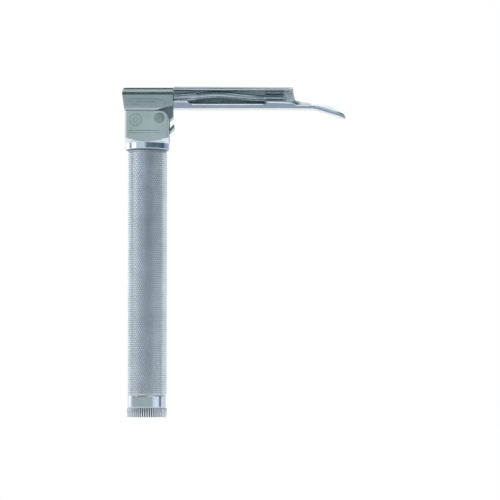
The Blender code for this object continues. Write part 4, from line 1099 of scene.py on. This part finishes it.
def build_light_guide():
    tube_end = FERRULE_END - 0.5
    tube = shape("light_tube", pipe(guide_route(BLADE_START, tube_end, 90), GUIDE_R, GUIDE_CORE_R))
    dress(tube, TUBE_STEEL, "blade", "dark_steel", "light_guide_tube")
    sleeve = shape("tube_sleeve", pipe(guide_route(BLADE_START, SLEEVE_END, 24), SLEEVE_R, GUIDE_R + FIT))
    soften(sleeve, 0.15, 50.0, 3)
    dress(sleeve, BLADE_STEEL, "blade", "satin_steel", "light_guide_sleeve")
    mid = (GUIDE_END_Y, GUIDE_END_Z)
    bore = GUIDE_R + FIT
    ferrule = [(bore, FERRULE_START), (FERRULE_R - 0.3, FERRULE_START)]
    ferrule += [(FERRULE_R - 0.08, FERRULE_START + 0.15), (FERRULE_R, FERRULE_START + 0.5)]
    nose = [(y, x) for x, y in arc((FERRULE_END - 0.9, FERRULE_R - 0.9), 0.9, 90.0, 0.0, 12)]
    ferrule += [(r, x) for r, x in nose if r > bore] + [(bore, FERRULE_END)]
    made = shape("tube_ferrule", turned(ferrule, 64, "X", mid))
    dress(made, TUBE_STEEL, "blade", "dark_steel", "light_guide_ferrule")
    strands = fibre_route(INPUT_FOOT + 0.1, BLOCK_FRONT) + guide_route(BLADE_START, tube_end - 0.05, 60)
    made = shape("fibre_strands", sweep(strands, FIBRE_R, 20))
    dress(made, FIBRE_ENDS, "blade", "glass_fibre", "fibre_bundle")
    shell = [(INPUT_CORE_R, INPUT_FOOT + 0.05), (INPUT_R - 0.35, INPUT_FOOT)]
    shell += [(INPUT_R - 0.1, INPUT_FOOT + 0.12), (INPUT_R, INPUT_FOOT + 0.4)]
    shell += [(INPUT_R, INPUT_TOP), (INPUT_CORE_R, INPUT_TOP)]
    made = shape("input_shell", turned(shell, 48))
    dress(made, POLISHED, "blade", "polished_steel", "light_input_ferrule")


# Formed blade


def blade_floor(x):
    """Underside of the blade: level, then a smooth bend down towards the tip."""
    spread = BEND_R * BEND_SLOPE
    past = x - (BEND_START - spread / 2.0)
    if past <= 0.0:
        return BLADE_BOTTOM
    if past < spread:
        return BLADE_BOTTOM - past * past / (2.0 * BEND_R)
    return BLADE_BOTTOM - spread * BEND_SLOPE / 2.0 - (past - spread) * BEND_SLOPE


def near_rim(x):
    """Top of the low wall, with a long scooped window below the light tube."""
    rim = ((19.0, RIM_HIGH), (22.6, WINDOW_LOW), (56.3, WINDOW_LOW), (58.4, RIM_HIGH - 0.2), (71.0, 152.7))
    low = ((71.0, 152.7), (82.0, 151.2))
    if x <= 71.0:
        return blend(rim, x)
    return min(blend(low, x), blade_floor(x) + 2.2)


def half_width(x):
    """Half the blade's width on the sheet's middle line, closing to a round blunt tip."""
    straight = blend(((58.0, 5.7), (92.0, 5.0)), x)
    past = max(0.0, x - (BLADE_END - TIP_LENGTH)) / (TIP_LENGTH + 0.35)
    return straight * math.sqrt(max(0.0, 1.0 - past * past))


def blade_line(x):
    """Middle line of the sheet at a station: low wall, floor, web and rolled flange, in Y and Z."""
    half, floor = half_width(x), blade_floor(x) + SHEET / 2.0
    rim = near_rim(x) - SHEET / 2.0
    near_r = min(NEAR_CORNER_R, rim - floor - 0.05, half * 0.8)
    far_r = min(FAR_CORNER_R, half * 0.9)
    foot = -half + NEAR_FOOT_IN
    flange = BLADE_TOP - SHEET / 2.0 - BLADE_TOP_DROP * (x - BLADE_START) / (WEB_END - BLADE_START)
    web_foot, web_top = floor + far_r, flange - LIP_R
    edge = min(FLANGE_EDGE, half - LIP_R - 0.1)
    line = [(foot - NEAR_SLOPE * (rim - floor - near_r), rim)]
    line += arc((foot + near_r, floor + near_r), near_r, 180.0, 270.0, NEAR_STEPS)
    line += [(0.0, floor)]
    flare = blend(((WEB_END - 1.5, 0.0), (WEB_END + 4.5, 1.0)), x) * TROUGH_FLARE_DEG
    line += arc((half - far_r, web_foot), far_r, -90.0, -flare, 20)
    foot_y, foot_z = line[-1]
    slant = math.tan(math.radians(flare))
    for share in (0.5, 1.0):
        rise = (web_top - foot_z) * share
        line.append((foot_y + slant * rise, foot_z + rise))
    lean = line[-1][0] - half
    line += arc((half + lean - LIP_R, web_top), LIP_R, 0.0, 90.0, 12)[1:]
    return line + arc((edge + lean, flange - ROLL_R), ROLL_R, 90.0, ROLL_TURN_DEG, 10)


def thicken(line, thickness):
    """A closed outline of constant thickness round a middle line: far end rounded, rim bevelled."""
    line = [Vector(point) for point in line]
    left, right = [], []
    for i, point in enumerate(line):
        along = (line[min(i + 1, len(line) - 1)] - line[max(i - 1, 0)]).normalized()
        across = Vector((-along.y, along.x)) * thickness / 2.0
        left.append(point + across)
        right.append(point - across)
    spoke = left[-1] - line[-1]
    turn = math.degrees(math.atan2(spoke.y, spoke.x))
    rolled_end = arc(line[-1], thickness / 2.0, turn, turn - 180.0, 8)[1:-1]
    lowest = min(point.y for point in right[: NEAR_STEPS + 4])
    corner = (right[1].x + NEAR_EDGE_R + NEAR_EDGE_IN, lowest + NEAR_EDGE_R)
    right[1 : NEAR_STEPS + 2] = arc(corner, NEAR_EDGE_R, 180.0, 270.0, NEAR_STEPS)
    up = (line[0] - line[1]).normalized()
    inward = (left[0] - line[0]).normalized()
    bevel = line[0] + up * RIM_CHAMFER - inward * (thickness / 2.0 - RIM_CHAMFER)
    crest = line[0] + up * (RIM_CHAMFER + RIM_CREST) + inward * RIM_ROUND
    inner = left[0] + up * RIM_ROUND - inward * RIM_DROP
    return [tuple(point) for point in [*left, *rolled_end, *reversed(right), bevel, crest, inner]]


def trim_outline():
    """What is cut off above the blade: the web's end, and the wall that falls away to the tip."""
    web_end = [(WEB_END - 1.0, BLADE_TOP + 2.0), (WEB_END - 0.9, BLADE_TOP - BLADE_TOP_DROP)]
    inner = arc((WEB_END + 1.1, 155.7), 1.0, 190.0, 262.0, 10)
    crest = [(78.4, 153.7), (83.5, 152.9), (87.6, 152.2), (89.9, 151.7), (92.2, 150.7)]
    nose = [(94.0, 149.3), (95.4, 147.8), (96.3, 146.4), (98.0, 145.9)]
    return web_end + inner + crest + nose + [(98.0, BLADE_TOP + 2.0)]


def blade_stations():
    """Where sections are taken: close together at the window's ends, the bend and the tip."""
    stations = [BLADE_START, 14.0, 16.0, 18.0] + [19.0 + 0.6 * i for i in range(7)]
    stations += [25.0 + 2.5 * i for i in range(13)] + [56.3 + 0.35 * i for i in range(7)]
    stations += [60.5 + 2.0 * i for i in range(9)]
    bend = [78.0 + 0.6 * i for i in range(1, 24)]
    tip = [BLADE_END - TIP_LENGTH * (1.0 - math.sin(math.radians(90.0 * i / 20.0))) for i in range(21)]
    return stations + bend + [x for x in tip if x > bend[-1] + 0.05]


def build_spatula():
    sections = [[(x, y, z) for y, z in thicken(blade_line(x), SHEET)] for x in blade_stations()]
    blade = shape("formed_blade", loft(sections))
    carve(blade, prism(trim_outline(), -14.0, 14.0, "Y"))
    blade.data.materials.append(BLADE_STEEL)

    # Painted shade: the web's inside face under the flange takes the darker steel.
    def inside_web(at, normal):
        return at.x < 66.0 and at.y > -3.0 and at.z < 159.2 and normal.y < -0.35

    paint(blade, WEB_SHADE_STEEL, inside_web)
    dress(blade, BLADE_STEEL, "blade", "blade_steel", "blade_spatula", sharp_deg=40.0)


# Studio


# Light above the horizon by compass direction in degrees: 0 is towards the camera, positive to the right
AROUND_LOW = [
    (-180.0, (1.00, 1.02, 1.05)), (-145.0, (0.80, 0.84, 0.88)), (-130.0, (1.30, 1.33, 1.37)),
    (-116.0, (1.20, 1.25, 1.30)), (-100.0, (0.60, 0.66, 0.70)), (-84.0, (0.44, 0.50, 0.52)),
    (32.0, (0.42, 0.48, 0.50)), (48.0, (0.80, 0.90, 1.05)), (76.0, (0.80, 0.90, 1.05)),
    (84.0, (0.20, 0.24, 0.28)), (94.0, (0.20, 0.24, 0.28)), (103.0, (0.78, 0.84, 0.96)),
    (140.0, (0.70, 0.76, 0.86)), (180.0, (1.00, 1.02, 1.05)),
]
AROUND = [
    (-180.0, (0.60, 0.66, 0.74)), (-155.0, (0.70, 0.75, 0.82)), (-140.0, (1.50, 1.53, 1.57)),
    (-114.0, (1.45, 1.50, 1.55)), (-98.0, (0.20, 0.26, 0.36)), (-70.0, (0.16, 0.22, 0.32)),
    (-54.0, (0.70, 0.78, 0.90)), (-16.0, (0.66, 0.74, 0.86)), (0.0, (0.12, 0.18, 0.22)),
    (50.0, (0.07, 0.13, 0.17)), (96.0, (0.06, 0.11, 0.15)), (108.0, (0.30, 0.38, 0.48)),
    (150.0, (0.50, 0.58, 0.70)), (180.0, (0.60, 0.66, 0.74)),
]
# Where the upper ring takes over from the lower one
RAISED = [
    (1.5, 0.0), (4.5, 1.0),
]
# How those fade with height above the horizon, and the ceiling that is added to them
UPWARD = [
    (0.0, 1.0), (14.0, 1.0), (30.0, 0.6), (48.0, 0.0), (90.0, 0.0),
]
CEILING = [
    (7.5, 0.0), (11.0, (0.36, 0.41, 0.41)), (20.0, (0.36, 0.41, 0.41)), (26.0, (0.05, 0.08, 0.08)),
    (66.0, (0.05, 0.08, 0.08)), (72.0, (0.78, 0.84, 0.86)), (90.0, (0.90, 0.95, 0.98)),
]
# A white panel up on the right
PANEL_AROUND = [
    (8.0, 0.0), (16.0, (0.80, 0.82, 0.86)), (60.0, (0.80, 0.82, 0.86)), (80.0, 0.0),
]
PANEL_UPWARD = [
    (30.0, 0.0), (40.0, 1.0), (80.0, 1.0),
]
# The pale table beyond the floor piece: by compass direction near the horizon, brighter close by
TABLE = [
    (-180.0, (0.95, 0.96, 0.98)), (-100.0, (1.00, 1.04, 1.10)), (-50.0, (0.32, 0.39, 0.47)),
    (50.0, (0.33, 0.40, 0.47)), (100.0, (0.45, 0.50, 0.58)), (140.0, (0.55, 0.60, 0.68)),
    (180.0, (0.95, 0.96, 0.98)),
]
TABLE_NEAR = (0.95, 0.97, 1.0, 1.0)
TABLE_FAR = [
    (-20.0, 0.0), (-14.0, 0.9), (-11.0, 1.0),
]
# Where the table ends and the room begins
HORIZON = [(-3.0, 0.0), (-0.8, 1.0)]


def build_world():
    """The room that the steel mirrors; the camera itself sees plain white."""
    world = bpy.data.worlds.new("studio")
    bpy.context.scene.world = world
    world.use_nodes = True
    sky = Nodes(world.node_tree)
    sky.tree.nodes.clear()
    parts = sky.add("SeparateXYZ", Vector=sky.add("TexCoord").outputs["Generated"])
    x, y, z = parts.outputs
    turn = sky.math("ARCTAN2", x, sky.math("MULTIPLY", y, -1.0))
    around = sky.math("MULTIPLY_ADD", turn, 1.0 / (2.0 * math.pi), 0.5)
    upward = sky.math("MULTIPLY_ADD", sky.math("ARCSINE", z), 1.0 / math.pi, 0.5)

    def by_compass(stops):
        return sky.ramp(around, [(0.5 + degrees / 360.0, level) for degrees, level in stops])

    def by_height(stops):
        return sky.ramp(upward, [(0.5 + degrees / 180.0, level) for degrees, level in stops])

    walls = sky.mix(by_height(RAISED), by_compass(AROUND_LOW), by_compass(AROUND))
    walls = sky.mix(1.0, walls, by_height(UPWARD), "MULTIPLY")
    panel = sky.mix(1.0, by_compass(PANEL_AROUND), by_height(PANEL_UPWARD), "MULTIPLY")
    room = sky.mix(1.0, sky.mix(1.0, walls, by_height(CEILING), "ADD"), panel, "ADD")
    table = sky.mix(by_height(TABLE_FAR), TABLE_NEAR, by_compass(TABLE))
    lit = sky.add("Background", Color=sky.mix(by_height(HORIZON), table, room), Strength=1.0)
    white = sky.add("Background", Color=(1.0, 1.0, 1.0, 1.0))
    choose = sky.add("MixShader", Fac=sky.add("LightPath").outputs["Is Camera Ray"])
    sky.put(choose.inputs[1], lit.outputs[0])
    sky.put(choose.inputs[2], white.outputs[0])
    sky.add("OutputWorld", Surface=choose.outputs[0])


def area_light(name, at, towards, size, power, colour):
    data = bpy.data.lights.new(name, "AREA")
    data.shape = "RECTANGLE"
    data.size, data.size_y = size
    data.energy = power
    data.color = colour
    light = bpy.data.objects.new(name, data)
    light.location = at
    light.rotation_euler = (Vector(towards) - Vector(at)).to_track_quat("-Z", "Y").to_euler()
    bpy.context.scene.collection.objects.link(light)


def build_studio():
    build_world()
    middle = (0.045, 0.0, 0.09)
    area_light("key_left", (-0.9, -0.25, 0.55), middle, (0.6, 0.9), 2.0, (0.95, 0.98, 1.0))
    left, right, near, far = -600.0, 690.0, -220.0, 900.0
    corners = [(left, near, 0.0), (right, near, 0.0), (right, far, 0.0), (left, far, 0.0)]
    floor = shape("floor", (corners, [[0, 1, 2, 3]]))
    paper = Shader("paper_floor")
    fleck = paper.noise((0.4, 0.4, 0.4), 3.0)
    tone = paper.mix(fleck, (0.93, 0.94, 0.95, 1.0), (0.97, 0.97, 0.975, 1.0))
    paper.set(Base_Color=(0.6, 0.6, 0.61, 1.0), Roughness=0.9, Emission_Color=tone, Emission_Strength=0.74)
    floor.data.materials.append(paper.material)

    data = bpy.data.cameras.new("camera")
    data.lens, data.sensor_width = 178.0, 36.0
    data.clip_start, data.clip_end = 0.01, 20.0
    camera = bpy.data.objects.new("camera", data)
    camera.location = (0.050, -1.2, 0.010)
    aim = Vector((0.050, 0.0, 0.0811)) - camera.location
    camera.rotation_euler = aim.to_track_quat("-Z", "Y").to_euler()
    bpy.context.scene.collection.objects.link(camera)
    bpy.context.scene.camera = camera
    bpy.context.scene.view_settings.view_transform = "Standard"


build_barrel()
build_head()
build_pin()
build_batteries()
build_lamp_seat()
build_lamp()
build_cap()
build_cap_contact()
build_block()
build_detents()
build_light_guide()
build_spatula()
build_studio()
